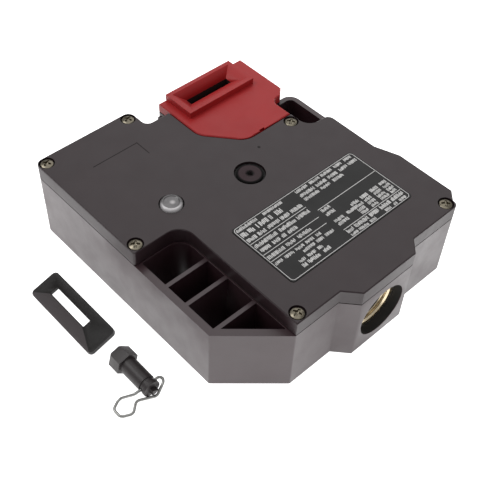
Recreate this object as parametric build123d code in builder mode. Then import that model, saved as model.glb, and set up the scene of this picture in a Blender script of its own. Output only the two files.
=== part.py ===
import os
from math import asin, cos, radians, sin, tan

from build123d import *

# Tongue interlock switch lying on its back, in millimetres
# X runs along the label, Y toward the head, Z out of the cover
# The origin is the axis of the lower mounting hole on the back face

# housing plan
lower_hole_from_left = 11.5
lower_hole_from_front = 27.5
left_x = -lower_hole_from_left
front_y = -lower_hole_from_front
body_w = 108.2
body_l = 122.7
corner_cut_x = 22.1
corner_cut_y = 19.7
boss_left = 43.4
boss_slant = 5.5
boss_depth = 6.1
boss_flat = 27.8
front_step = 1.1
side_boss_start = 5.4
side_boss_end = 31.4
side_boss_depth = 3.8
side_boss_run = 10.4
notch_x = 46.8
notch_y = 111.4
notch_r = 3.0
corner_r = 3.3
pocket_end = 60.3
pocket_corner_r = 6.5
right_x = left_x + body_w
back_y = front_y + body_l
outer_right = right_x + side_boss_depth

# heights
base_h = 30.1
gasket_t = 0.4
cover_h = 6.5
cover_skin = 3.0
cover_edge = 0.4
gasket_inset = 0.35
base_floor = 3.0
wall = 3.2
cover_bottom = base_h + gasket_t
cover_top = cover_bottom + cover_h

# depth left to the coil between the floor and the indicator board
board_drop = 6.6
board_gap = 0.5
board_z = cover_top - cover_skin - board_drop
frame_t = 1.8
coil_air = 0.1
coil_floor_gap = 1.0
coil_floor = base_floor + coil_floor_gap
coil_roof = board_z - board_gap - frame_t - coil_air
rod_z = (coil_floor + coil_roof) / 2

# mounting recess beside the head
recess_left = 96.6
recess_front = 67.4
recess_r = 5.5
recess_back = 89.5
recess_wall = 2.4
recess_outer_r = 5.0
recess_floor = 8.0
neck_step = 92.8

# pockets
rim_t = 3.0
rib_t = 1.7
rib_1 = 45.9
rib_2 = 35.0
rib_3 = 20.2

# mounting holes
mount_hole_d = 5.5
upper_hole_y = 53.3
recess_hole_x = 103.2
recess_hole_y = 78.6

# head
head_left = 59.0
head_right = 105.3
head_back = 118.5
head_front = 78.3
head_slant_x = 12.8
head_slant_y = 14.7
head_slant_r = 8.0
head_step_r = 3.5
head_step_x = 96.4
head_plate_t = 4.0
head_plate_bottom = cover_top - head_plate_t
head_gap = 0.4
head_seal_t = 0.3
seal_inset = 0.4
seal_opening_gap = 0.3
head_block_inset = 3.1
head_block_gap = 0.2
head_floor = 5.0
collar_left = 62.8
collar_w = 35.4
collar_l = 15.9
collar_h = 2.8
collar_wall = 1.9
funnel_depth = 4.2
slot_w = 22.4
slot_t = 3.4
tongue_y = 111.4
cam_x = 80.7
cam_end_gap = 4.4
cam_depth_gap = 6.4
cam_length = tongue_y - head_front - head_block_inset - cam_end_gap
cam_depth = cover_top - head_floor - cam_depth_gap
cam_r = min(cam_length, cam_depth) / 2
cam_w = 21.4
cam_clear = 0.5
shaft_d = 5.0
shaft_fit = 0.03
cam_turn = 35.0
cam_rim = 5.3
rod_arm = cam_r - cam_rim
cam_z = rod_z + rod_arm
notch_w = 5.0
notch_depth = 4.5
head_edge = 0.4
slot_overlap = 1.3
slot_bottom = cam_z - cam_r + slot_overlap
end_funnel_depth = 2.0
end_slot_l = 20.0
cam_side_clear = 0.2
shaft_l = 37.0
latch_notch_w = 2.6
shank_top = 3.3
shank_relief = 1.8

# head screws
head_screw_d = 3.0
head_screw_head_d = 5.4
head_screw_head_h = 2.6
head_screw_inset = 3.6
head_screw_from_end = 5.0
head_screw_sink = 0.4
head_screw_shaft_gap = 2.5
head_screw_tip = cam_z - shaft_d / 2 - head_screw_shaft_gap
head_screw_l = head_screw_tip - head_screw_sink - head_screw_head_h
head_screw_gap = 0.2
head_screw_cross = 0.9
head_screw_cross_l = 3.2
head_screw_cross_depth = 1.2

# operating rod
rod_d = 8.0
rod_nose_d = 5.0
rod_fit = 0.05
pin_d = 4.4
pin_l = 10.6
pin_play = 0.07
cheek_play = 0.4
lock_y = 63.4
blade_t = 3.0
blade_play = 0.15
lock_notch_depth = 2.5
rod_shoulder = 59.3
rod_back_shoulder = 83.6
rod_nose_end = 48.3
rod_bearing_y = 51.0
rod_bearing_t = 3.0
rod_bearing_w = 15.0
bearing_rise = 5.5
collar_disc_t = 1.4
collar_disc_d = 10.0
spring_wire = 0.9
spring_coil_d = 8.0
spring_turns = 5
rod_travel = 2 * rod_arm * tan(radians(cam_turn / 2))
cam_y = tongue_y - cam_r - 0.2

# solenoid
coil_left = 30.0
coil_l = 23.0
coil_wall_gap = 1.2
coil_width = 2 * (head_front - wall - lock_y - coil_wall_gap)
bobbin_d = min(coil_roof - coil_floor, coil_width)
flange_rise = 1.0
coil_d = bobbin_d - 2 * flange_rise
flange_t = 1.2
bore_d = 7.4
plunger_d = 7.2
frame_hole_gap = 0.15
core_l = 7.0
plunger_gap = 4.0
lock_travel = 3.5
blade_clear = 1.2
blade_h = 5.0
neck_d = 4.6
nose_d = 6.0
ring_d = 10.0
ring_t = 1.4
flag_offset = 1.4
flag_t = 1.5
flag_y = 46.5
lock_bearing_x = 68.0
lock_bearing_t = 2.6
lock_bearing_w = 11.0
lock_spring_wire = 0.5
lock_spring_d = 5.4

# manual release disc
disc_x = 59.6
disc_y = lock_y
disc_d = 10.6
disc_groove = 1.0
disc_shaft_d = 7.0
disc_seat = 1.6
disc_lift = 0.05
disc_sink = 0.2
disc_key_r = 1.9
disc_key_depth = 1.0
disc_crank_d = 8.4
crank_drop = 4.0
crank_t = 2.4
crank_z = cover_top - cover_skin - crank_drop - crank_t
release_turn = 90.0
crank_r = lock_travel / (2 * sin(radians(release_turn / 2)))
crank_pin_d = 2.5
crank_play = 0.15
crank_rise = 2.4
crank_bottom = rod_z + crank_rise

# contact blocks
door_block_w = 19.0
door_block_y = 16.0
door_block_l = 21.0
block_h = 18.0
door_plunger_d = 4.8
contact_gap = 0.05
lock_block_gap = 2.6
lock_block_w = 18.5
lock_block_l = 11.0
lock_plunger_tip_d = 3.6

# lens and board
lens_x = 26.1
lens_y = 70.7
lens_d = 9.6
lens_flange_d = 12.0
lens_rise = 1.5
lens_flange_t = 1.2
board_w = 18.0
board_l = 14.0
board_t = 1.6
board_r = 1.0
board_post_inset = 2.5
board_post_r = 1.8
led_d = 5.0
led_h = 4.6
led_foot_h = 0.8
led_foot_rise = 0.4
led_round = 1.4

# terminals
terminal_x = 30.0
terminal_y = 23.0
terminal_pitch = 6.2
terminal_count = 6
terminal_l = 13.0
terminal_h = 15.0
terminal_screw_d = 4.0

# conduit entries
conduit_x = 62.9
conduit_z = base_h / 2
conduit_recess_depth = 4.0
conduit_step = 0.45
sleeve_wall = 1.8
sleeve_setback = 1.0
insert_l = 8.5
insert_wall = 1.8
insert_mouth = 0.6
thread_minor_d = 18.4
insert_wall_d = thread_minor_d + 2 * insert_wall
conduit_recess_d = insert_wall_d + 2 * conduit_step
cable_way = 6.0
side_conduit_y = 18.4
side_hole_d = 18.0
side_recess_depth = 2.0
plug_rim_gap = 0.3
plug_fit = 0.05
plug_end_gap = 3.0
plug_slot = 2.0
plug_slot_l = 12.0
plug_slot_depth = 1.2

# cover screws
screw_inset = 3.5
screw_head_d = 5.6
screw_head_h = 2.2
screw_head_gap = 0.35
screw_hole_gap = 0.2
screw_edge = 0.4
screw_cross_l = 3.5
screw_proud = 0.3
screw_d = 3.0
screw_l = 14.0
screw_cross = 0.9
screw_boss_wall = 1.9
recess_screw_inset = 3.2
recess_screw_drop = 3.9
screw_positions = [
    (left_x + screw_inset, back_y - screw_inset),
    (left_x + notch_x - screw_inset, back_y - screw_inset),
    (left_x + screw_inset, front_y + pocket_end + screw_inset),
    (left_x + corner_cut_x + screw_inset, front_y + screw_inset),
    (right_x - screw_inset, front_y + screw_inset - front_step),
    (left_x + head_step_x - recess_screw_inset, front_y + head_front - recess_screw_drop),
]

# nameplate
plate_x = 33.4
plate_y = 13.4
plate_w = 64.6
plate_l = 32.4
plate_t = 0.5
plate_sink = 0.3
plate_r = 1.5

# loose accessories
cap_from_left = 25.7
cap_from_front = 96.1
cap_tilt = 16.0
cap_w = 13.0
cap_l = 38.6
cap_t = 2.2
cap_slot_x = 5.6
cap_slot_w = 3.4
cap_slot_y = 5.2
cap_slot_l = 21.6
cap_rim = 1.3
cap_r = 1.9
cap_boss_rim = 1.2
key_from_left = 18.7
key_af = 8.6
key_lean = 15.0
key_edge = 1.1
key_head_from_front = 43.2
key_head_l = 6.4
key_body_d = 7.0
key_body_l = 14.0
key_tip_l = 1.8
key_groove_w = 1.6
key_groove_depth = 0.4
wire_d = 1.1
wire_hole_d = 1.7
wire_from_end = 2.4
wire_floor_gap = 0.1
ring_gap = 0.05
ring_out = 6.0
ring_far = 14.0
ring_back = 4.4
ring_front = 3.9
ring_end = 4.2
ring_neck_y = 0.6
ring_tip_x = 0.6
ring_tip_y = 4.5
ring_side = 5.8
ring_side_y = 2.2
ring_r = 2.0
ring_turn_r = 1.4

# cover plan, shared by the cover, its gasket and the cavity below it
hx = left_x + head_left - head_gap
hy = front_y + head_front - head_gap
slant_run = (head_slant_x**2 + head_slant_y**2) ** 0.5
slant_lag_x = (slant_run - head_slant_x) / head_slant_y
slant_lag_y = (slant_run - head_slant_y) / head_slant_x
slant_x = left_x + head_left + head_slant_x
slant_y = front_y + head_front + head_slant_y
with BuildSketch() as cover_plan:
    with BuildLine():
        Polyline(
            (left_x + corner_cut_x, front_y),
            (left_x + boss_left, front_y),
            (left_x + boss_left + boss_slant, front_y - boss_depth),
            (left_x + boss_left + boss_slant + boss_flat, front_y - boss_depth),
            (left_x + boss_left + boss_slant + boss_flat + boss_depth - front_step, front_y - front_step),
            (right_x, front_y - front_step),
            (right_x, front_y + side_boss_start - side_boss_depth),
            (outer_right, front_y + side_boss_start),
            (outer_right, front_y + side_boss_end),
            (right_x, front_y + side_boss_end + side_boss_run),
            (right_x, front_y + recess_front),
            (left_x + recess_left, front_y + recess_front),
            (left_x + recess_left, hy),
            (slant_x - head_gap * slant_lag_x, hy),
            (hx, slant_y - head_gap * slant_lag_y),
            (hx, front_y + notch_y),
            (left_x + notch_x, front_y + notch_y),
            (left_x + notch_x, back_y),
            (left_x, back_y),
            (left_x, front_y + pocket_end),
            (left_x + corner_cut_x, front_y + pocket_end),
            close=True,
        )
    make_face()
    for round_x, round_y, round_r in [
        (right_x, front_y - front_step, corner_r - 1.0),
        (right_x, front_y + recess_front, corner_r),
        (left_x + recess_left, front_y + recess_front, recess_r),
        (slant_x - head_gap * slant_lag_x, hy, head_slant_r + head_gap),
        (hx, slant_y - head_gap * slant_lag_y, head_slant_r + head_gap),
        (left_x + notch_x, front_y + notch_y, notch_r),
        (left_x + notch_x, back_y, corner_r),
        (left_x, back_y, corner_r),
        (left_x, front_y + pocket_end, 1.0),
        (left_x + corner_cut_x, front_y + pocket_end, pocket_corner_r),
    ]:
        corner = cover_plan.vertices().sort_by_distance((round_x, round_y, 0))[0]
        fillet(corner, radius=round_r)

# base plan
with BuildSketch() as base_plan:
    with BuildLine():
        Polyline(
            (left_x + corner_cut_x, front_y),
            (left_x + boss_left, front_y),
            (left_x + boss_left + boss_slant, front_y - boss_depth),
            (left_x + boss_left + boss_slant + boss_flat, front_y - boss_depth),
            (left_x + boss_left + boss_slant + boss_flat + boss_depth - front_step, front_y - front_step),
            (right_x, front_y - front_step),
            (right_x, front_y + side_boss_start - side_boss_depth),
            (outer_right, front_y + side_boss_start),
            (outer_right, front_y + side_boss_end),
            (right_x, front_y + side_boss_end + side_boss_run),
            (right_x, front_y + recess_front - side_boss_depth),
            (outer_right, front_y + recess_front),
            (outer_right, front_y + neck_step),
            (left_x + head_right, front_y + neck_step),
            (left_x + head_right, front_y + head_back),
            (left_x + head_left - 1.0, front_y + head_back),
            (left_x + head_left - 1.0, front_y + notch_y),
            (left_x + notch_x, front_y + notch_y),
            (left_x + notch_x, back_y),
            (left_x, back_y),
            (left_x, front_y + corner_cut_y),
            close=True,
        )
    make_face()
    for round_x, round_y, round_r in [
        (right_x, front_y - front_step, corner_r - 1.0),
        (outer_right, front_y + neck_step, recess_outer_r),
        (left_x + notch_x, front_y + notch_y, notch_r),
        (left_x + notch_x, back_y, corner_r),
        (left_x, back_y, corner_r),
        (left_x, front_y + corner_cut_y, 1.0),
        (left_x + corner_cut_x, front_y, 1.0),
    ]:
        corner = base_plan.vertices().sort_by_distance((round_x, round_y, 0))[0]
        fillet(corner, radius=round_r)

# head plan, shared by the head plate and the raised seat below it
with BuildSketch() as head_plan:
    with BuildLine():
        Polyline(
            (left_x + head_left, slant_y),
            (slant_x, front_y + head_front),
            (left_x + head_step_x, front_y + head_front),
            (left_x + head_step_x, front_y + recess_back),
            (left_x + head_right - 3.5, front_y + recess_back),
            (left_x + head_right, front_y + neck_step),
            (left_x + head_right, front_y + head_back),
            (left_x + head_left, front_y + head_back),
            close=True,
        )
    make_face()
    for round_x, round_y, round_r in [
        (left_x + head_left, slant_y, head_slant_r),
        (slant_x, front_y + head_front, head_slant_r),
        (left_x + head_step_x, front_y + recess_back, head_step_r),
    ]:
        fillet(head_plan.vertices().sort_by_distance((round_x, round_y, 0))[0], radius=round_r)

# plan of the head block that drops into the neck
block_left = left_x + head_left + head_block_inset
block_right = left_x + head_right - head_block_inset
block_front = front_y + head_front + head_block_inset
block_step_x = left_x + head_step_x - head_block_inset
block_step_y = front_y + neck_step + 1.0
block_slant_x = slant_x + head_block_inset * slant_lag_x
block_slant_y = slant_y + head_block_inset * slant_lag_y
with BuildSketch() as block_plan:
    with BuildLine():
        Polyline(
            (block_left, block_slant_y),
            (block_slant_x, block_front),
            (block_step_x, block_front),
            (block_step_x, block_step_y),
            (block_right, block_step_y),
            (block_right, front_y + head_back),
            (block_left, front_y + head_back),
            close=True,
        )
    make_face()
    for round_x, round_y in [(block_left, block_slant_y), (block_slant_x, block_front)]:
        fillet(
            block_plan.vertices().sort_by_distance((round_x, round_y, 0))[0],
            radius=head_slant_r - head_block_inset,
        )

# pocket region inside the rim, its slanted side parallel to the cut corner
pocket_right = corner_cut_x - 0.4
cut_slope = corner_cut_y / corner_cut_x
cut_shift = rim_t * (1 + cut_slope**2) ** 0.5
cut_y_at_rim = corner_cut_y - cut_slope * rim_t + cut_shift
cut_y_at_right = corner_cut_y - cut_slope * pocket_right + cut_shift
with BuildSketch() as pocket_plan:
    with BuildLine():
        Polyline(
            (left_x + pocket_right, front_y + cut_y_at_right),
            (left_x + pocket_right, front_y + pocket_end - 0.4),
            (left_x + rim_t, front_y + pocket_end - 0.4),
            (left_x + rim_t, front_y + cut_y_at_rim),
            close=True,
        )
    make_face()
    fillet(
        pocket_plan.vertices().sort_by_distance(
            (left_x + pocket_right, front_y + pocket_end - 0.4, 0)
        )[0],
        radius=pocket_corner_r,
    )

# mounting recess
recess_in_right = outer_right - recess_wall
with BuildSketch() as recess_plan:
    with BuildLine():
        Polyline(
            (left_x + recess_left - 0.2, front_y + recess_front),
            (recess_in_right, front_y + recess_front),
            (recess_in_right, front_y + recess_back + 0.9),
            (left_x + recess_left - 0.2, front_y + recess_back + 0.9),
            close=True,
        )
    make_face()
    fillet(
        recess_plan.vertices().sort_by_distance(
            (left_x + recess_left - 0.2, front_y + recess_front, 0)
        )[0],
        radius=recess_r,
    )
    fillet(
        recess_plan.vertices().sort_by_distance((recess_in_right, front_y + recess_back + 0.9, 0))[0],
        radius=recess_outer_r - recess_wall,
    )

upper_hole = (0, front_y + upper_hole_y)
recess_hole = (left_x + recess_hole_x, front_y + recess_hole_y)
rod_x = left_x + cam_x
rod_pin_y = front_y + cam_y + rod_arm * tan(radians(cam_turn / 2))
head_screw_positions = [
    (block_left + head_screw_inset, front_y + head_back - head_screw_from_end),
    (block_right - head_screw_inset, front_y + head_back - head_screw_from_end),
    (block_left + head_screw_inset, front_y + cam_y + 1.5),
    (block_right - head_screw_inset, block_step_y + head_screw_from_end - 1.0),
]

# base case: outer block, raised head seat, cavity, pockets, recess and bores
boss_y = front_y - boss_depth
conduit_plane = Plane(
    origin=(left_x + conduit_x, boss_y, conduit_z), x_dir=(1, 0, 0), z_dir=(0, 1, 0)
)
side_plane = Plane(
    origin=(outer_right, front_y + side_conduit_y, conduit_z), x_dir=(0, 1, 0), z_dir=(-1, 0, 0)
)
rod_plane = Plane(origin=(rod_x, 0, rod_z), x_dir=(1, 0, 0), z_dir=(0, 1, 0))
bolt_plane = Plane(origin=(0, front_y + lock_y, rod_z), x_dir=(0, 1, 0), z_dir=(1, 0, 0))
bearing_y = front_y + rod_bearing_y
bolt_y = front_y + lock_y
with BuildPart() as base_case:
    with BuildSketch():
        add(base_plan.sketch)
    extrude(amount=base_h)
    with BuildSketch(Plane.XY.offset(base_h)):
        add(head_plan.sketch)
    extrude(amount=head_plate_bottom - base_h - head_seal_t)
    # cavity under the cover
    with BuildSketch(Plane.XY.offset(base_floor)):
        offset(cover_plan.sketch, amount=-wall, kind=Kind.INTERSECTION)
    extrude(amount=base_h, mode=Mode.SUBTRACT)
    # bosses for the cover screws
    with BuildSketch(Plane.XY.offset(base_floor)):
        with Locations(*screw_positions):
            Circle(screw_d / 2 + screw_boss_wall)
    extrude(amount=base_h - base_floor)
    with Locations(*[(sx, sy, base_h) for sx, sy in screw_positions]):
        Hole(screw_d / 2, depth=screw_l)
    # ribbed pockets
    with BuildSketch(Plane.XY.offset(base_floor)):
        add(pocket_plan.sketch)
        for rib_y in (rib_1, rib_2, rib_3):
            with Locations((left_x + corner_cut_x / 2, front_y + rib_y)):
                Rectangle(2 * corner_cut_x, rib_t, mode=Mode.SUBTRACT)
    extrude(amount=base_h, mode=Mode.SUBTRACT)
    # seat for the head block, open at the end
    with BuildSketch(Plane.XY.offset(head_floor)):
        offset(block_plan.sketch, amount=head_block_gap, kind=Kind.INTERSECTION)
    extrude(amount=base_h, mode=Mode.SUBTRACT)
    # mounting recess and mounting holes
    with BuildSketch(Plane.XY.offset(recess_floor)):
        add(recess_plan.sketch)
    extrude(amount=base_h, mode=Mode.SUBTRACT)
    with Locations((0, 0, base_floor), (upper_hole[0], upper_hole[1], base_floor)):
        Hole(mount_hole_d / 2, depth=base_floor)
    with Locations((recess_hole[0], recess_hole[1], recess_floor)):
        Hole(mount_hole_d / 2, depth=recess_floor)
    # conduit entries
    with BuildSketch(conduit_plane.offset(sleeve_setback)):
        Circle(insert_wall_d / 2 + sleeve_wall)
        Rectangle(insert_wall_d + 2 * sleeve_wall, base_h, mode=Mode.INTERSECT)
    extrude(amount=conduit_recess_depth + insert_l - sleeve_setback)
    with BuildSketch(conduit_plane):
        Circle(conduit_recess_d / 2)
    extrude(amount=conduit_recess_depth, mode=Mode.SUBTRACT)
    with BuildSketch(conduit_plane.offset(conduit_recess_depth)):
        Circle(insert_wall_d / 2)
    extrude(amount=insert_l + cable_way, mode=Mode.SUBTRACT)
    with BuildSketch(side_plane):
        Circle(conduit_recess_d / 2)
    extrude(amount=side_recess_depth, mode=Mode.SUBTRACT)
    with BuildSketch(side_plane):
        Circle(side_hole_d / 2)
    extrude(amount=side_boss_depth + wall + 1.0, mode=Mode.SUBTRACT)
    # bearing webs for the operating rod and the lock plunger
    with BuildSketch(Plane.XY.offset(base_floor)):
        with Locations((rod_x, bearing_y + rod_bearing_t / 2)):
            Rectangle(rod_bearing_w, rod_bearing_t)
        with Locations((left_x + lock_bearing_x + lock_bearing_t / 2, bolt_y)):
            Rectangle(lock_bearing_t, lock_bearing_w)
    extrude(amount=rod_z + bearing_rise - base_floor)
    with BuildSketch(rod_plane.offset(bearing_y - 1.0)):
        Circle(rod_nose_d / 2 + rod_fit)
    extrude(amount=rod_bearing_t + 2.0, mode=Mode.SUBTRACT)
    with BuildSketch(bolt_plane.offset(left_x + lock_bearing_x - 1.0)):
        Circle(nose_d / 2 + rod_fit)
    extrude(amount=lock_bearing_t + 2.0, mode=Mode.SUBTRACT)
    # bearing bore through the wall between the cavity and the head
    with BuildSketch(rod_plane.offset(hy - wall - 1.0)):
        Circle(rod_d / 2 + rod_fit)
    extrude(amount=block_front - hy + wall + 2.0, mode=Mode.SUBTRACT)
    # head screw holes from the back
    with BuildSketch():
        with Locations(*head_screw_positions):
            Circle(head_screw_head_d / 2 + head_screw_gap)
    extrude(amount=head_screw_head_h + head_screw_sink, mode=Mode.SUBTRACT)
    with BuildSketch():
        with Locations(*head_screw_positions):
            Circle(head_screw_d / 2 + head_screw_gap)
    extrude(amount=head_floor, mode=Mode.SUBTRACT)
base_case.part.label = "base_case"
export_step(base_case.part, "parts/base_case.step")

# top cover
screw_seat_z = cover_top + screw_proud - screw_head_h
lens_pos = (left_x + lens_x, front_y + lens_y)
disc_pos = (left_x + disc_x, front_y + disc_y)
board_post_x = board_w / 2 - board_post_inset
board_post_y = board_l / 2 - board_post_inset
with BuildPart() as top_cover:
    with BuildSketch(Plane.XY.offset(cover_bottom)):
        add(cover_plan.sketch)
    extrude(amount=cover_top - cover_bottom)
    chamfer(top_cover.faces().sort_by(Axis.Z)[-1].outer_wire().edges(), length=cover_edge)
    with BuildSketch(Plane.XY.offset(cover_bottom)):
        offset(cover_plan.sketch, amount=-wall, kind=Kind.INTERSECTION)
    extrude(amount=cover_top - cover_skin - cover_bottom, mode=Mode.SUBTRACT)
    with BuildSketch(Plane.XY.offset(cover_bottom)):
        with Locations(*screw_positions):
            Circle(screw_d / 2 + screw_boss_wall)
    extrude(amount=cover_top - cover_skin - cover_bottom)
    # posts that carry the indicator board
    with BuildSketch(Plane.XY.offset(board_z + board_t)):
        with Locations(
            (lens_pos[0] - board_post_x, lens_pos[1] + board_post_y),
            (lens_pos[0] + board_post_x, lens_pos[1] - board_post_y),
        ):
            Circle(board_post_r)
    extrude(amount=cover_top - cover_skin - board_z - board_t)
    with Locations(*[(sx, sy, screw_seat_z) for sx, sy in screw_positions]):
        Hole(screw_d / 2 + screw_hole_gap, depth=cover_top)
    with BuildSketch(Plane.XY.offset(screw_seat_z)):
        with Locations(*screw_positions):
            Circle(screw_head_d / 2 + screw_head_gap)
    extrude(amount=screw_head_h + 1.0, mode=Mode.SUBTRACT)
    # lens hole
    with BuildSketch(Plane.XY.offset(cover_top - cover_skin)):
        with Locations(lens_pos):
            Circle(lens_d / 2 + 0.1)
    extrude(amount=cover_skin, mode=Mode.SUBTRACT)
    # seat and bore of the release disc
    with BuildSketch(Plane.XY.offset(cover_top - disc_seat)):
        with Locations(disc_pos):
            Circle(disc_d / 2 + disc_groove)
    extrude(amount=disc_seat, mode=Mode.SUBTRACT)
    with BuildSketch(Plane.XY.offset(cover_top - cover_skin)):
        with Locations(disc_pos):
            Circle(disc_shaft_d / 2 + rod_fit)
    extrude(amount=cover_skin, mode=Mode.SUBTRACT)
    # nameplate seat
    with BuildSketch(Plane.XY.offset(cover_top - plate_sink)):
        with Locations((left_x + plate_x + plate_w / 2, front_y + plate_y + plate_l / 2)):
            RectangleRounded(plate_w + 0.3, plate_l + 0.3, plate_r + 0.15)
    extrude(amount=plate_sink, mode=Mode.SUBTRACT)
top_cover.part.label = "top_cover"
export_step(top_cover.part, "parts/top_cover.step")

# flat gasket in the parting line
with BuildPart() as cover_gasket:
    with BuildSketch(Plane.XY.offset(base_h)):
        offset(cover_plan.sketch, amount=-gasket_inset, kind=Kind.INTERSECTION)
        offset(cover_plan.sketch, amount=-wall, kind=Kind.INTERSECTION, mode=Mode.SUBTRACT)
        with Locations(*screw_positions):
            Circle(screw_d / 2 + 0.1, mode=Mode.SUBTRACT)
    extrude(amount=gasket_t)
cover_gasket.part.label = "cover_gasket"
export_step(cover_gasket.part, "parts/cover_gasket.step")

# cover screws with a cross recess
for screw_index, (sx, sy) in enumerate(screw_positions):
    with BuildPart() as cover_screw:
        with BuildSketch(Plane.XY.offset(screw_seat_z)):
            with Locations((sx, sy)):
                Circle(screw_head_d / 2)
        extrude(amount=screw_head_h)
        chamfer(cover_screw.faces().sort_by(Axis.Z)[-1].edges(), length=screw_edge)
        with BuildSketch(Plane.XY.offset(screw_seat_z - screw_l)):
            with Locations((sx, sy)):
                Circle(screw_d / 2)
        extrude(amount=screw_l)
        with BuildSketch(Plane.XY.offset(screw_seat_z + screw_head_h / 2)):
            with Locations((sx, sy)):
                Rectangle(screw_cross_l, screw_cross, rotation=screw_index * 25)
                Rectangle(screw_cross, screw_cross_l, rotation=screw_index * 25)
        extrude(amount=screw_head_h, mode=Mode.SUBTRACT)
    cover_screw.part.label = f"cover_screw_{screw_index + 1}"
    export_step(cover_screw.part, f"parts/cover_screw_{screw_index + 1}.step")

# nameplate
with BuildPart() as nameplate:
    with BuildSketch(Plane.XY.offset(cover_top - plate_sink)):
        with Locations((left_x + plate_x + plate_w / 2, front_y + plate_y + plate_l / 2)):
            RectangleRounded(plate_w, plate_l, plate_r)
    extrude(amount=plate_t)
nameplate.part.label = "nameplate"
export_step(nameplate.part, "parts/nameplate.step")

# indicator lens, a flanged dome
lens_flange_z = cover_top - cover_skin - lens_flange_t
dome_r = (lens_d**2 / 4 + lens_rise**2) / (2 * lens_rise)
dome_half = asin(lens_d / 2 / dome_r) / 2
dome_middle = (dome_r * sin(dome_half), cover_top - 0.2 + lens_rise - dome_r * (1 - cos(dome_half)))
with BuildPart() as indicator_lens:
    with BuildSketch(Plane(origin=(lens_pos[0], lens_pos[1], 0), x_dir=(1, 0, 0), z_dir=(0, -1, 0))):
        with BuildLine():
            flange_side = Line((lens_flange_d / 2, lens_flange_z), (lens_flange_d / 2, cover_top - cover_skin))
            flange_top = Line(flange_side @ 1, (lens_d / 2, cover_top - cover_skin))
            barrel = Line(flange_top @ 1, (lens_d / 2, cover_top - 0.2))
            dome = ThreePointArc(barrel @ 1, dome_middle, (0, cover_top - 0.2 + lens_rise))
            middle = Line(dome @ 1, (0, cover_top - 1.2))
            inner = Line(middle @ 1, (lens_d / 2 - 1.0, cover_top - 1.2))
            inner_side = Line(inner @ 1, (lens_d / 2 - 1.0, lens_flange_z))
            Line(inner_side @ 1, flange_side @ 0)
        make_face()
    revolve(axis=Axis((lens_pos[0], lens_pos[1], 0), (0, 0, 1)))
indicator_lens.part.label = "indicator_lens"
export_step(indicator_lens.part, "parts/indicator_lens.step")

# indicator board and lamp
with BuildPart() as indicator_board:
    with BuildSketch(Plane.XY.offset(board_z)):
        with Locations(lens_pos):
            RectangleRounded(board_w, board_l, board_r)
    extrude(amount=board_t)
indicator_board.part.label = "indicator_board"
export_step(indicator_board.part, "parts/indicator_board.step")
with BuildPart() as indicator_led:
    with BuildSketch(Plane.XY.offset(board_z + board_t)):
        with Locations(lens_pos):
            Circle(led_d / 2 + led_foot_rise)
    extrude(amount=led_foot_h)
    with BuildSketch(Plane.XY.offset(board_z + board_t + led_foot_h)):
        with Locations(lens_pos):
            Circle(led_d / 2)
    extrude(amount=led_h - led_foot_h)
    chamfer(indicator_led.faces().sort_by(Axis.Z)[-1].edges(), length=led_round)
indicator_led.part.label = "indicator_led"
export_step(indicator_led.part, "parts/indicator_led.step")

# release disc with its shaft, crank and crank pin
crank_angle = 90 + release_turn / 2
with BuildPart() as release_disc:
    with BuildSketch(Plane.XY.offset(cover_top - disc_seat + disc_lift)):
        with Locations(disc_pos):
            Circle(disc_d / 2)
    extrude(amount=disc_seat - disc_lift - disc_sink)
    with BuildSketch(Plane.XY.offset(crank_z + crank_t)):
        with Locations(disc_pos):
            Circle(disc_shaft_d / 2)
    extrude(amount=cover_top - disc_seat + disc_lift - crank_z - crank_t)
    with BuildSketch(Plane.XY.offset(crank_z)):
        with Locations(disc_pos):
            Circle(disc_crank_d / 2)
    extrude(amount=crank_t)
    with BuildSketch(Plane.XY.offset(crank_bottom)):
        with Locations(disc_pos):
            with PolarLocations(crank_r, 1, start_angle=crank_angle):
                Circle(crank_pin_d / 2)
    extrude(amount=crank_z - crank_bottom)
    with BuildSketch(Plane.XY.offset(cover_top - disc_sink - disc_key_depth)):
        with Locations(disc_pos):
            RegularPolygon(disc_key_r, 3, rotation=30)
    extrude(amount=disc_key_depth, mode=Mode.SUBTRACT)
release_disc.part.label = "release_disc"
export_step(release_disc.part, "parts/release_disc.step")

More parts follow.
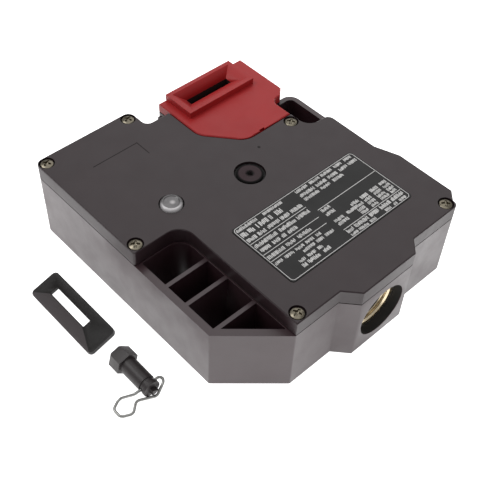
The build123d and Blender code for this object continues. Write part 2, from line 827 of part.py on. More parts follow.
# head body: plate, block, collar, funnel, slots and cam cavity
cam_pos = (front_y + cam_y, cam_z)
block_bottom = head_floor + 0.1
collar_cx = left_x + collar_left + collar_w / 2
collar_cy = front_y + head_back - collar_l / 2
collar_top = cover_top + collar_h
funnel_bottom = collar_top - funnel_depth
slot_pos = (rod_x, front_y + tongue_y)
end_plane = Plane(origin=(rod_x, front_y + head_back, cam_z - cam_r - 0.2), x_dir=(1, 0, 0), z_dir=(0, -1, 0))
with BuildPart() as head_body:
    with BuildSketch(Plane.XY.offset(head_plate_bottom)):
        add(head_plan.sketch)
    extrude(amount=head_plate_t)
    chamfer(head_body.faces().sort_by(Axis.Z)[-1].outer_wire().edges(), length=head_edge)
    with BuildSketch(Plane.XY.offset(block_bottom)):
        add(block_plan.sketch)
    extrude(amount=head_plate_bottom - block_bottom)
    with BuildSketch(Plane.XY.offset(cover_top)):
        with Locations((collar_cx, collar_cy)):
            Rectangle(collar_w, collar_l)
    extrude(amount=collar_h)
    # funnel down to the tongue slot
    with BuildSketch(Plane.XY.offset(collar_top)):
        with Locations((collar_cx, collar_cy)):
            Rectangle(collar_w - 2 * collar_wall, collar_l - 2 * collar_wall)
    with BuildSketch(Plane.XY.offset(funnel_bottom)):
        with Locations(slot_pos):
            Rectangle(slot_w, slot_t)
    loft(mode=Mode.SUBTRACT)
    with BuildSketch(Plane.XY.offset(slot_bottom)):
        with Locations(slot_pos):
            Rectangle(slot_w, slot_t)
    extrude(amount=funnel_bottom - slot_bottom + 0.1, mode=Mode.SUBTRACT)
    # end entry
    with BuildSketch(end_plane):
        Rectangle(slot_w + 4.0, slot_t + 2.6)
    with BuildSketch(end_plane.offset(end_funnel_depth)):
        Rectangle(slot_w, slot_t)
    loft(mode=Mode.SUBTRACT)
    with BuildSketch(end_plane.offset(end_funnel_depth - 0.1)):
        Rectangle(slot_w, slot_t)
    extrude(amount=end_slot_l, mode=Mode.SUBTRACT)
    # cam cavity, shaft bore and rod bore
    with BuildSketch(Plane.YZ.offset(rod_x - cam_w / 2 - cam_side_clear)):
        with Locations(cam_pos):
            Circle(cam_r + cam_clear)
    extrude(amount=cam_w + 2 * cam_side_clear, mode=Mode.SUBTRACT)
    with BuildSketch(Plane.YZ.offset(block_left + 1.5)):
        with Locations(cam_pos):
            Circle(shaft_d / 2)
    extrude(amount=shaft_l, mode=Mode.SUBTRACT)
    with BuildSketch(rod_plane.offset(block_front - 1.0)):
        Circle(rod_d / 2 + 0.5)
    extrude(amount=front_y + cam_y - block_front, mode=Mode.SUBTRACT)
    # holes of the head screws, latch notch at the front edge
    with BuildSketch(Plane.XY.offset(block_bottom)):
        with Locations(*head_screw_positions):
            Circle(head_screw_d / 2)
    extrude(amount=head_screw_l - 1.5, mode=Mode.SUBTRACT)
    with BuildSketch(Plane.XY.offset(cover_top - 1.5)):
        with Locations((rod_x, front_y + head_front)):
            Rectangle(latch_notch_w, 1.6)
    extrude(amount=1.5, mode=Mode.SUBTRACT)
head_body.part.label = "head_body"
export_step(head_body.part, "parts/head_body.step")

# seal between the head plate and the raised seat
with BuildSketch() as seal_opening:
    offset(block_plan.sketch, amount=seal_opening_gap, kind=Kind.INTERSECTION)
with BuildPart() as head_seal:
    with BuildSketch(Plane.XY.offset(head_plate_bottom - head_seal_t)):
        offset(head_plan.sketch, amount=-seal_inset, kind=Kind.INTERSECTION)
        add(seal_opening.sketch, mode=Mode.SUBTRACT)
    extrude(amount=head_seal_t)
head_seal.part.label = "head_seal"
export_step(head_seal.part, "parts/head_seal.step")

# head screws from the back
for screw_index, (sx, sy) in enumerate(head_screw_positions):
    with BuildPart() as head_screw:
        with BuildSketch(Plane.XY.offset(head_screw_sink)):
            with Locations((sx, sy)):
                Circle(head_screw_head_d / 2)
        extrude(amount=head_screw_head_h)
        with BuildSketch(Plane.XY.offset(head_screw_sink + head_screw_head_h)):
            with Locations((sx, sy)):
                Circle(head_screw_d / 2)
        extrude(amount=head_screw_l)
        with BuildSketch(Plane.XY.offset(head_screw_sink)):
            with Locations((sx, sy)):
                Rectangle(head_screw_cross_l, head_screw_cross)
                Rectangle(head_screw_cross, head_screw_cross_l)
        extrude(amount=head_screw_cross_depth, mode=Mode.SUBTRACT)
    head_screw.part.label = f"head_screw_{screw_index + 1}"
    export_step(head_screw.part, f"parts/head_screw_{screw_index + 1}.step")

# cam shaft
with BuildPart() as cam_shaft:
    with BuildSketch(Plane.YZ.offset(block_left + 1.5)):
        with Locations(cam_pos):
            Circle(shaft_d / 2)
    extrude(amount=shaft_l)
cam_shaft.part.label = "cam_shaft"
export_step(cam_shaft.part, "parts/cam_shaft.step")

# head cam, drawn with the tongue out
with BuildPart() as head_cam:
    with BuildSketch(Plane.YZ.offset(rod_x - cam_w / 2)):
        with Locations(cam_pos):
            Circle(cam_r)
            Circle(shaft_d / 2 + shaft_fit, mode=Mode.SUBTRACT)
            with PolarLocations(cam_r - notch_depth / 2 + 1.0, 1, start_angle=cam_turn - 2.0):
                Rectangle(notch_depth + 2.0, notch_w, mode=Mode.SUBTRACT)
            with PolarLocations(cam_r - notch_depth / 2 + 1.0, 1, start_angle=cam_turn - 92.0):
                Rectangle(notch_depth + 2.0, notch_w, mode=Mode.SUBTRACT)
    extrude(amount=cam_w)
    # radial slots for the cross pin
    with BuildSketch(Plane.YZ.offset(rod_x - pin_l / 2 - cheek_play)):
        with Locations(Location((cam_pos[0], cam_pos[1], 0), (0, 0, cam_turn / 2))):
            with Locations((0, -rod_arm - 4.0)):
                Rectangle(pin_d + 2 * pin_play, 2 * (pin_d / 2 + 4.0 + cheek_play))
    extrude(amount=pin_l + 2 * cheek_play, mode=Mode.SUBTRACT)
    # clearance for the rod shank
    with BuildSketch(Plane.YZ.offset(rod_x - rod_nose_d / 2 - cheek_play)):
        with Locations(Location((cam_pos[0], cam_pos[1], 0), (0, 0, cam_turn / 2))):
            Polygon(
                (pin_d / 2 + 1.1, -shank_top),
                (-shank_top, -shank_top),
                (-cam_r - 2.0, shank_relief),
                (-cam_r - 2.0, -cam_r - 2.0),
                (pin_d / 2 + 1.1, -cam_r - 2.0),
                align=None,
            )
    extrude(amount=rod_nose_d + 2 * cheek_play, mode=Mode.SUBTRACT)
head_cam.part.label = "head_cam"
export_step(head_cam.part, "parts/head_cam.step")

# operating rod
with BuildPart() as operating_rod:
    with BuildSketch(rod_plane.offset(front_y + rod_nose_end)):
        Circle(rod_nose_d / 2)
    extrude(amount=rod_pin_y - front_y - rod_nose_end)
    with BuildSketch(rod_plane.offset(front_y + rod_shoulder)):
        Circle(rod_d / 2)
    extrude(amount=rod_back_shoulder - rod_shoulder)
    with BuildSketch(rod_plane.offset(front_y + rod_nose_end + 1.0)):
        Circle(collar_disc_d / 2)
    extrude(amount=collar_disc_t)
    with BuildSketch(Plane.YZ.offset(rod_x - pin_l / 2)):
        with Locations((rod_pin_y, rod_z)):
            Circle(pin_d / 2)
    extrude(amount=pin_l)
    with BuildSketch(Plane.XY.offset(rod_z - rod_d)):
        with Locations((rod_x - rod_d / 2, bolt_y), (rod_x - rod_d / 2, bolt_y + rod_travel)):
            Rectangle(2 * lock_notch_depth, blade_t + 2 * blade_play)
    extrude(amount=2 * rod_d, mode=Mode.SUBTRACT)
operating_rod.part.label = "operating_rod"
export_step(operating_rod.part, "parts/operating_rod.step")

# return spring of the rod, seated on the door contact block
spring_start = front_y + door_block_y + door_block_l
spring_l = rod_nose_end + 1.0 - door_block_y - door_block_l
with BuildPart() as rod_spring:
    with BuildLine():
        spring_path = Helix(
            pitch=(spring_l - spring_wire) / spring_turns,
            height=spring_l - spring_wire,
            radius=spring_coil_d / 2,
            center=(rod_x, spring_start + spring_wire / 2, rod_z),
            direction=(0, 1, 0),
        )
    with BuildSketch(Plane(origin=spring_path @ 0, z_dir=spring_path % 0)):
        RegularPolygon(spring_wire / 2, 6)
    sweep(path=spring_path, is_frenet=True)
rod_spring.part.label = "rod_spring"
export_step(rod_spring.part, "parts/rod_spring.step")

# door contact block and its plunger
with BuildPart() as door_switch_block:
    with BuildSketch(Plane.XY.offset(base_floor)):
        with Locations((rod_x, front_y + door_block_y + door_block_l / 2)):
            RectangleRounded(door_block_w, door_block_l, 1.0)
    extrude(amount=block_h)
    with BuildSketch(rod_plane.offset(front_y + door_block_y + 4.0)):
        Circle(door_plunger_d / 2 + rod_fit)
    extrude(amount=door_block_l, mode=Mode.SUBTRACT)
door_switch_block.part.label = "door_switch_block"
export_step(door_switch_block.part, "parts/door_switch_block.step")
door_tip_y = front_y + rod_nose_end - contact_gap
door_tail_y = front_y + door_block_y + 4.0 + rod_travel + 1.0
with BuildPart() as door_switch_plunger:
    with BuildSketch(rod_plane.offset(door_tail_y)):
        Circle(door_plunger_d / 2)
    extrude(amount=door_tip_y - door_tail_y)
    chamfer(door_switch_plunger.faces().sort_by(Axis.Y)[-1].edges(), length=0.5)
door_switch_plunger.part.label = "door_switch_plunger"
export_step(door_switch_plunger.part, "parts/door_switch_plunger.step")

# solenoid frame, an inverted channel, with a fixed core
coil_x = left_x + coil_left
coil_top = rod_z + bobbin_d / 2 + coil_air
with BuildPart() as solenoid_frame:
    with BuildSketch(Plane.XZ.offset(-(bolt_y - bobbin_d / 2))):
        with BuildLine():
            Polyline(
                (coil_x - frame_t, base_floor),
                (coil_x, base_floor),
                (coil_x, coil_top),
                (coil_x + coil_l, coil_top),
                (coil_x + coil_l, base_floor),
                (coil_x + coil_l + frame_t, base_floor),
                (coil_x + coil_l + frame_t, coil_top + frame_t),
                (coil_x - frame_t, coil_top + frame_t),
                close=True,
            )
        make_face()
    extrude(amount=-bobbin_d)
    with BuildSketch(bolt_plane.offset(coil_x + coil_l - 1.0)):
        Circle(plunger_d / 2 + frame_hole_gap)
    extrude(amount=frame_t + 2.0, mode=Mode.SUBTRACT)
solenoid_frame.part.label = "solenoid_frame"
export_step(solenoid_frame.part, "parts/solenoid_frame.step")
with BuildPart() as solenoid_core:
    with BuildSketch(bolt_plane.offset(coil_x)):
        Circle(plunger_d / 2)
    extrude(amount=core_l)
solenoid_core.part.label = "solenoid_core"
export_step(solenoid_core.part, "parts/solenoid_core.step")
with BuildPart() as solenoid_coil:
    with BuildSketch(bolt_plane.offset(coil_x + 0.05)):
        Circle(bobbin_d / 2)
    extrude(amount=flange_t)
    with BuildSketch(bolt_plane.offset(coil_x + coil_l - flange_t - 0.05)):
        Circle(bobbin_d / 2)
    extrude(amount=flange_t)
    with BuildSketch(bolt_plane.offset(coil_x + flange_t)):
        Circle(coil_d / 2)
    extrude(amount=coil_l - 2 * flange_t)
    with BuildSketch(bolt_plane.offset(coil_x - 1.0)):
        Circle(bore_d / 2)
    extrude(amount=coil_l + 2.0, mode=Mode.SUBTRACT)
solenoid_coil.part.label = "solenoid_coil"
export_step(solenoid_coil.part, "parts/solenoid_coil.step")

# lock plunger, drawn back into the coil
crank_x = disc_pos[0] - lock_travel / 2
crank_gap = crank_pin_d + 2 * crank_play
ring_1 = crank_x - crank_gap / 2 - ring_t
ring_2 = crank_x + crank_gap / 2
plunger_start = coil_x + core_l + plunger_gap
tip_x = rod_x - rod_d / 2 - blade_clear
blade_start = tip_x - 4.0
flag_x = ring_2 + ring_t + flag_offset
with BuildPart() as lock_plunger:
    with BuildSketch(bolt_plane.offset(plunger_start)):
        Circle(plunger_d / 2)
    extrude(amount=ring_1 - plunger_start)
    with BuildSketch(bolt_plane.offset(ring_1)):
        Circle(ring_d / 2)
    extrude(amount=ring_t)
    with BuildSketch(bolt_plane.offset(ring_1 + ring_t)):
        Circle(neck_d / 2)
    extrude(amount=crank_gap)
    with BuildSketch(bolt_plane.offset(ring_2)):
        Circle(ring_d / 2)
    extrude(amount=ring_t)
    with BuildSketch(bolt_plane.offset(ring_2 + ring_t)):
        Circle(nose_d / 2)
    extrude(amount=blade_start - ring_2 - ring_t)
    with BuildSketch(bolt_plane.offset(blade_start)):
        Rectangle(blade_t, blade_h)
    extrude(amount=tip_x - blade_start)
    with BuildSketch(Plane.XY.offset(rod_z - nose_d / 2)):
        with Locations((flag_x + flag_t / 2, (bolt_y - 1.5 + front_y + flag_y - 3.0) / 2)):
            Rectangle(flag_t, bolt_y - 1.5 - front_y - flag_y + 3.0)
    extrude(amount=nose_d)
lock_plunger.part.label = "lock_plunger"
export_step(lock_plunger.part, "parts/lock_plunger.step")

# lock spring between the core and the plunger
with BuildPart() as lock_spring:
    with BuildLine():
        lock_path = Helix(
            pitch=(plunger_gap - lock_spring_wire - 0.2) / 3,
            height=plunger_gap - lock_spring_wire - 0.2,
            radius=lock_spring_d / 2,
            center=(coil_x + core_l + lock_spring_wire / 2 + 0.1, bolt_y, rod_z),
            direction=(1, 0, 0),
        )
    with BuildSketch(Plane(origin=lock_path @ 0, z_dir=lock_path % 0)):
        RegularPolygon(lock_spring_wire / 2, 6)
    sweep(path=lock_path, is_frenet=True)
lock_spring.part.label = "lock_spring"
export_step(lock_spring.part, "parts/lock_spring.step")

# lock contact block and its plunger
lock_plane = Plane(origin=(0, front_y + flag_y, rod_z), x_dir=(0, 1, 0), z_dir=(1, 0, 0))
lock_block_left = flag_x - lock_block_gap - lock_block_w
with BuildPart() as lock_switch_block:
    with BuildSketch(Plane.XY.offset(base_floor)):
        with Locations((lock_block_left + lock_block_w / 2, front_y + flag_y)):
            RectangleRounded(lock_block_w, lock_block_l, 1.0)
    extrude(amount=block_h)
    with BuildSketch(lock_plane.offset(lock_block_left + 4.0)):
        Circle(lock_plunger_tip_d / 2 + rod_fit)
    extrude(amount=lock_block_w, mode=Mode.SUBTRACT)
lock_switch_block.part.label = "lock_switch_block"
export_step(lock_switch_block.part, "parts/lock_switch_block.step")
with BuildPart() as lock_switch_plunger:
    with BuildSketch(lock_plane.offset(lock_block_left + 4.5)):
        Circle(lock_plunger_tip_d / 2)
    extrude(amount=flag_x - contact_gap - lock_block_left - 4.5)
    chamfer(lock_switch_plunger.faces().sort_by(Axis.X)[-1].edges(), length=0.4)
lock_switch_plunger.part.label = "lock_switch_plunger"
export_step(lock_switch_plunger.part, "parts/lock_switch_plunger.step")

# terminal block and terminal screws
terminal_w = terminal_pitch * terminal_count
terminal_cx = left_x + terminal_x + terminal_w / 2
terminal_cy = front_y + terminal_y + terminal_l / 2
with BuildPart() as terminal_block:
    with BuildSketch(Plane.XY.offset(base_floor)):
        with Locations((terminal_cx, terminal_cy)):
            Rectangle(terminal_w, terminal_l)
    extrude(amount=terminal_h)
    with BuildSketch(Plane.XY.offset(base_floor + terminal_h - 3.2)):
        with Locations((terminal_cx, terminal_cy)):
            with GridLocations(terminal_pitch, 1, terminal_count, 1):
                Circle(terminal_screw_d / 2 + 0.2)
    extrude(amount=3.2, mode=Mode.SUBTRACT)
    with BuildSketch(Plane.XZ.offset(-(terminal_cy - terminal_l / 2))):
        with Locations((terminal_cx, base_floor + 6.0)):
            with GridLocations(terminal_pitch, 1, terminal_count, 1):
                Rectangle(terminal_pitch - 2.2, 5.0)
    extrude(amount=-terminal_l / 2 + 1.0, mode=Mode.SUBTRACT)
terminal_block.part.label = "terminal_block"
export_step(terminal_block.part, "parts/terminal_block.step")
for screw_index in range(terminal_count):
    screw_x = terminal_cx + (screw_index - (terminal_count - 1) / 2) * terminal_pitch
    with BuildPart() as terminal_screw:
        with BuildSketch(Plane.XY.offset(base_floor + terminal_h - 3.2)):
            with Locations((screw_x, terminal_cy)):
                Circle(terminal_screw_d / 2)
        extrude(amount=2.6)
        with BuildSketch(Plane.XY.offset(base_floor + terminal_h - 1.6)):
            with Locations((screw_x, terminal_cy)):
                Rectangle(terminal_screw_d + 1.0, 0.8, rotation=20)
        extrude(amount=1.0, mode=Mode.SUBTRACT)
    terminal_screw.part.label = f"terminal_screw_{screw_index + 1}"
    export_step(terminal_screw.part, f"parts/terminal_screw_{screw_index + 1}.step")

# brass conduit insert, its thread left to the core diameter
with BuildPart() as conduit_insert:
    with BuildSketch(conduit_plane.offset(conduit_recess_depth)):
        Circle(insert_wall_d / 2)
        Circle(thread_minor_d / 2, mode=Mode.SUBTRACT)
    extrude(amount=insert_l)
    mouth_face = conduit_insert.faces().filter_by(GeomType.PLANE).sort_by(Axis.Y)[0]
    chamfer(mouth_face.inner_wires()[0].edges(), length=insert_mouth)
conduit_insert.part.label = "conduit_insert"
export_step(conduit_insert.part, "parts/conduit_insert.step")

# blanking plug of the side entry
with BuildPart() as side_plug:
    with BuildSketch(side_plane):
        Circle(conduit_recess_d / 2 - plug_rim_gap)
    extrude(amount=side_recess_depth)
    with BuildSketch(side_plane.offset(side_recess_depth)):
        Circle(side_hole_d / 2 - plug_fit)
    extrude(amount=side_boss_depth + wall + 1.0 - plug_end_gap)
    with BuildSketch(side_plane):
        Rectangle(plug_slot_l, plug_slot)
    extrude(amount=plug_slot_depth, mode=Mode.SUBTRACT)
side_plug.part.label = "side_plug"
export_step(side_plug.part, "parts/side_plug.step")

# slot cap lying on its left edge and on the rim of its guide
cap_x = left_x - cap_from_left
cap_y = front_y + cap_from_front
cap_plane = Plane(
    origin=(cap_x, cap_y, cap_t * cos(radians(cap_tilt))),
    x_dir=(cos(radians(cap_tilt)), 0, sin(radians(cap_tilt))),
    z_dir=(-sin(radians(cap_tilt)), 0, cos(radians(cap_tilt))),
)
cap_boss_h = (cap_slot_x - cap_boss_rim) * tan(radians(cap_tilt))
cap_slot_center = (cap_slot_x + cap_slot_w / 2, -cap_slot_y - cap_slot_l / 2)
with BuildPart() as slot_cap:
    with BuildSketch(cap_plane.offset(-cap_t)):
        with Locations((cap_w / 2, -cap_l / 2)):
            RectangleRounded(cap_w, cap_l, cap_r)
    extrude(amount=cap_t)
    with BuildSketch(cap_plane.offset(-cap_t - cap_boss_h)):
        with Locations(cap_slot_center):
            Rectangle(cap_slot_w + 2 * cap_boss_rim, cap_slot_l + 2 * cap_boss_rim)
    extrude(amount=cap_boss_h)
    with BuildSketch(cap_plane):
        with Locations((cap_w / 2, -cap_l / 2)):
            Rectangle(cap_w - 2 * cap_rim, cap_l - 2 * cap_rim)
    with BuildSketch(cap_plane.offset(-cap_t + 0.5)):
        with Locations(cap_slot_center):
            Rectangle(cap_slot_w, cap_slot_l)
    loft(mode=Mode.SUBTRACT)
    with BuildSketch(cap_plane.offset(-cap_t - cap_boss_h)):
        with Locations(cap_slot_center):
            Rectangle(cap_slot_w, cap_slot_l)
    extrude(amount=cap_t + cap_boss_h, mode=Mode.SUBTRACT)
slot_cap.part.label = "slot_cap"
export_step(slot_cap.part, "parts/slot_cap.step")

# release key lying on an edge of its head
key_x = left_x - key_from_left
key_r = key_af / 2 / cos(radians(30))
key_z = key_r * cos(radians(key_lean))
key_head_y = front_y + key_head_from_front
key_body_y = key_head_y - key_body_l
wire_y = key_body_y + wire_from_end
key_plane = Plane(origin=(key_x, 0, key_z), x_dir=(1, 0, 0), z_dir=(0, 1, 0))
with BuildPart() as release_key:
    with BuildSketch(key_plane.offset(key_head_y)):
        RegularPolygon(key_r, 6, rotation=30 + key_lean)
    extrude(amount=key_head_l)
    chamfer(release_key.faces().sort_by(Axis.Y)[-1].edges(), length=key_edge)
    with BuildSketch(key_plane.offset(key_body_y)):
        Circle(key_body_d / 2)
    extrude(amount=key_head_y - key_body_y)
    with BuildSketch(key_plane.offset(key_body_y - key_tip_l)):
        RegularPolygon(disc_key_r - 0.15, 3)
    extrude(amount=key_tip_l)
    with BuildSketch(key_plane.offset(wire_y - key_groove_w / 2)):
        Circle(key_body_d / 2 + 1.0)
        Circle(key_body_d / 2 - key_groove_depth, mode=Mode.SUBTRACT)
    extrude(amount=key_groove_w, mode=Mode.SUBTRACT)
    with BuildSketch(Plane.YZ.offset(key_x - key_body_d)):
        with Locations((wire_y, key_z)):
            Circle(wire_hole_d / 2)
    extrude(amount=2 * key_body_d, mode=Mode.SUBTRACT)
release_key.part.label = "release_key"
export_step(release_key.part, "parts/release_key.step")

# wire ring through the cross hole of the key, each bend a corner and its radius
floor_wire_z = wire_d / 2 + wire_floor_gap
ring_bends = [
    ((key_x - ring_out, wire_y, key_z), ring_r),
    ((key_x - ring_far + ring_end, wire_y + ring_back, floor_wire_z), ring_r),
    ((key_x - ring_far, wire_y + ring_back / 2, floor_wire_z), ring_r),
    ((key_x - ring_far, wire_y - ring_front / 2, floor_wire_z), ring_r),
    ((key_x - ring_far + ring_end, wire_y - ring_front, floor_wire_z), ring_r),
    ((key_x - ring_out, wire_y - ring_neck_y, wire_d), ring_r),
    ((key_x + ring_tip_x, wire_y - ring_tip_y, 2 * wire_d), ring_r),
    ((key_x + ring_side, wire_y - ring_side_y, key_z - wire_d / 2), ring_r),
    ((key_x + ring_side, wire_y, key_z), ring_turn_r),
]
with BuildPart() as key_ring:
    with BuildLine() as ring_line:
        FilletPolyline(
            (key_x, wire_y, key_z),
            *[corner for corner, _ in ring_bends],
            (key_x + ring_gap, wire_y, key_z),
            radius=[bend for _, bend in ring_bends],
        )
    ring_path = ring_line.wires()[0]
    with BuildSketch(Plane(origin=ring_path @ 0, z_dir=ring_path % 0)):
        Circle(wire_d / 2)
    sweep(path=ring_path)
key_ring.part.label = "key_ring"
export_step(key_ring.part, "parts/key_ring.step")
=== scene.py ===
"""Looks of the tongue interlock switch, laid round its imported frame."""

from math import cos, pi, radians, sin
from random import Random

import bmesh
import bpy
from mathutils import Matrix, Vector


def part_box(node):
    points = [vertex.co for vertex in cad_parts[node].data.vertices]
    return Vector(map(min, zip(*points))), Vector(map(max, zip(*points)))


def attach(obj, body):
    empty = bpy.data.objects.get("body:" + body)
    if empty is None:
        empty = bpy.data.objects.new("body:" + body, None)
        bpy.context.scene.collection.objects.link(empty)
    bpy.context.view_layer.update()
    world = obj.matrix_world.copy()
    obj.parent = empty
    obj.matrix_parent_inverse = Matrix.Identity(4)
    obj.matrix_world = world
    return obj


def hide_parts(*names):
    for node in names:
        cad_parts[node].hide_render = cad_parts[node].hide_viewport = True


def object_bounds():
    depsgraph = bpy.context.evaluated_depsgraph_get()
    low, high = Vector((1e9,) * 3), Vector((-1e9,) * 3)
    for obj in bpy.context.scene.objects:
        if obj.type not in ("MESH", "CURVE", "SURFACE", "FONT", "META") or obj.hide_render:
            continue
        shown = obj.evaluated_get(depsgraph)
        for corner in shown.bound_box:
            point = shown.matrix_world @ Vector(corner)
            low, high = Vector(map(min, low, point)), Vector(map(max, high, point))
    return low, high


bl_info = {
    "name": "Tongue interlock switch",
    "version": (1, 0, 0),
    "blender": (4, 5, 0),
    "location": "3D View > Sidebar > Interlock",
    "description": "Builds the finished look of a guard locking tongue switch",
    "category": "Add Mesh",
}

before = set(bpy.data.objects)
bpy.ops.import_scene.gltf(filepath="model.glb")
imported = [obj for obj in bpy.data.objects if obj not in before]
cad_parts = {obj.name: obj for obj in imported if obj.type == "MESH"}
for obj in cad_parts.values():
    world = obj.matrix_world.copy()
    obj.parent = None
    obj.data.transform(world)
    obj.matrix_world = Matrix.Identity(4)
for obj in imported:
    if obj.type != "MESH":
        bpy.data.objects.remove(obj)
cad_low, cad_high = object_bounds()

# The switch is laid out from its front left corner, in millimetres.
CORNER = (11.5, 27.5)
COVER_TOP = 37.0

# The middle of the tongue slot at the foot of the funnel, in millimetres from the corner,
# and how far the foot comes up, in metres.
TONGUE_SLOT = (80.7, 111.4, 35.6)
FUNNEL_LIFT = 0.0009

# Edges sharper than this angle are rounded, in this many steps. What is left is shaded smooth
# below the second angle, in degrees.
ROUNDED_FROM = radians(50.0)
ROUNDED_STEPS = 2
SMOOTH_BELOW = 32.0

# Colours that aren't settings, as red, green, blue and alpha.
ZINC = (0.62, 0.62, 0.58, 1.0)
STEEL = (0.56, 0.56, 0.57, 1.0)
WIRE = (0.30, 0.30, 0.29, 1.0)
BRASS_SHADOW = (0.05, 0.042, 0.03, 1.0)
PALE_PLASTIC = (0.5, 0.47, 0.38, 1.0)
CONTACT_RED = (0.42, 0.03, 0.025, 1.0)
COIL_TAPE = (0.42, 0.20, 0.03, 1.0)
BOARD_GREEN = (0.02, 0.12, 0.05, 1.0)
LAMP_CLEAR = (0.85, 0.84, 0.78, 1.0)
PAPER = (0.8, 0.8, 0.8, 1.0)
WHITE = (1.0, 1.0, 1.0, 1.0)
CAM_BLACK = (0.02, 0.02, 0.021, 1.0)
# A black ring laid in the release disc's groove as painted shade.
SHADE_RING_BLACK = (0.0035, 0.0033, 0.0033, 1.0)
# Painted shade on the wall of the conduit's recess.
RECESS_PAINTED_SHADE = (0.0060, 0.0056, 0.0055, 1.0)
# Painted shade on the release disc's rim and in its pit.
DISC_PAINTED_SHADE = (0.0012, 0.0010, 0.0010, 1.0)
CAP_BLACK = (0.0045, 0.0032, 0.0028, 1.0)
# Painted light on the slot cap's inner slope.
CAP_SLOPE_LIGHT = (0.062, 0.053, 0.055, 1.0)
KEY_BLACK = (0.0290, 0.0240, 0.0245, 1.0)
LENS_DARK = (0.130, 0.124, 0.127, 1.0)
LENS_PALE = (0.165, 0.158, 0.161, 1.0)
# Painted light of the lens: shade on its far rim, a highlight on its near rim, shade on its step
# and a glint.
LENS_FAR_RIM_SHADE = (0.022, 0.019, 0.020, 1.0)
LENS_NEAR_RIM_HIGHLIGHT = (0.62, 0.60, 0.61, 1.0)
LENS_STEP_SHADE = (0.035, 0.032, 0.033, 1.0)
LENS_GLINT = (0.46, 0.44, 0.445, 1.0)


def place(x, y, z):
    """A point given in millimetres from the front left corner, in metres of the frame."""
    return Vector(((x - CORNER[0]) / 1000, (y - CORNER[1]) / 1000, z / 1000))


def measure(label, text, value, least=0.0):
    """A length setting in metres, with its default."""
    return bpy.props.FloatProperty(
        name=label, description=text, default=value, min=least, unit="LENGTH"
    )


def tone(label, text, values):
    """A colour setting with its default."""
    return bpy.props.FloatVectorProperty(
        name=label, description=text, default=values, size=4, min=0.0, max=1.0, subtype="COLOR"
    )


class SwitchSizes(bpy.types.PropertyGroup):
    """Sizes of the finish."""

    case_edge: measure("Case edge", "Rounding of the case edges", 0.00030)
    cover_edge: measure("Cover edge", "Rounding of the cover edges", 0.00022)
    head_edge: measure("Head edge", "Rounding of the head edges", 0.00045)
    small_edge: measure("Small edge", "Rounding of small parts", 0.00014)
    print_height: measure("Print height", "Thickness of the pale print", 0.00003)
    thread_pitch: measure("Thread pitch", "Pitch of the conduit thread", 0.0015, 0.0005)
    thread_depth: measure("Thread depth", "Depth of the conduit thread", 0.0007, 0.0001)


class SwitchColours(bpy.types.PropertyGroup):
    """Base colours of the finishes."""

    case: tone("Case", "Dark moulded case", (0.0335, 0.0155, 0.0192, 1.0))
    cover: tone("Cover", "Dark moulded cover", (0.0195, 0.0096, 0.0118, 1.0))
    head: tone("Head", "Red moulded head", (0.34, 0.0115, 0.0125, 1.0))
    gasket: tone("Gasket", "Rubber of the seals", (0.010, 0.010, 0.010, 1.0))
    plate: tone("Nameplate", "Field of the nameplate", (0.007, 0.0065, 0.0065, 1.0))
    ink: tone("Print", "Pale print of the nameplate", (0.66, 0.65, 0.64, 1.0))
    screw: tone("Screw", "Dark bronze screws", (0.19, 0.17, 0.13, 1.0))
    brass: tone("Brass", "Threaded conduit ring", (0.74, 0.62, 0.43, 1.0))
    black: tone("Black", "Blanking plug", (0.0075, 0.0055, 0.0050, 1.0))


def finish_nodes(name, colour, roughness, metallic=0.0):
    """A fresh material with its shader, tree and object coordinates."""
    material = bpy.data.materials.new(name)
    material.use_nodes = True
    tree = material.node_tree
    shader = tree.nodes["Principled BSDF"]
    shader.inputs["Base Color"].default_value = colour
    shader.inputs["Roughness"].default_value = roughness
    shader.inputs["Metallic"].default_value = metallic
    coords = tree.nodes.new("ShaderNodeTexCoord")
    return material, tree, shader, coords.outputs["Object"]


def coordinates(tree):
    """The object coordinates of a finish that is already made."""
    return tree.nodes["Texture Coordinate"].outputs["Object"]


def noise(tree, vector, scale, detail=2.0, rough=0.5):
    """A noise pattern on the object's own coordinates."""
    node = tree.nodes.new("ShaderNodeTexNoise")
    node.inputs["Scale"].default_value = scale
    node.inputs["Detail"].default_value = detail
    node.inputs["Roughness"].default_value = rough
    tree.links.new(vector, node.inputs["Vector"])
    return node.outputs["Fac"]


def spread(tree, value, low, high, start=0.3, end=0.7):
    """The value's middle range laid out from low to high."""
    node = tree.nodes.new("ShaderNodeMapRange")
    node.inputs["From Min"].default_value = start
    node.inputs["From Max"].default_value = end
    node.inputs["To Min"].default_value = low
    node.inputs["To Max"].default_value = high
    tree.links.new(value, node.inputs["Value"])
    return node.outputs["Result"]


def blend(tree, factor, first, second):
    """Two colours mixed by the factor, each a colour or an earlier mix."""
    node = tree.nodes.new("ShaderNodeMix")
    node.data_type = "RGBA"
    tree.links.new(factor, node.inputs["Factor"])
    for name, colour in (("A", first), ("B", second)):
        if isinstance(colour, tuple):
            node.inputs[name].default_value = colour
        else:
            tree.links.new(colour, node.inputs[name])
    return node.outputs["Result"]


def product(tree, first, second):
    """Two values multiplied."""
    node = tree.nodes.new("ShaderNodeMath")
    node.operation = "MULTIPLY"
    tree.links.new(first, node.inputs[0])
    tree.links.new(second, node.inputs[1])
    return node.outputs["Value"]


def tint(tree, shader, value, dark, light):
    """The shader's colour varies from dark to light with the value."""
    tree.links.new(blend(tree, value, dark, light), shader.inputs["Base Color"])


def bumped(tree, shader, height, distance, strength=1.0):
    """Relief on the shader's normal."""
    node = tree.nodes.new("ShaderNodeBump")
    node.inputs["Strength"].default_value = strength
    node.inputs["Distance"].default_value = distance
    tree.links.new(height, node.inputs["Height"])
    tree.links.new(node.outputs["Normal"], shader.inputs["Normal"])


def shade(colour, factor):
    """The colour made lighter or darker."""
    return tuple(min(1.0, part * factor) for part in colour[:3]) + (1.0,)


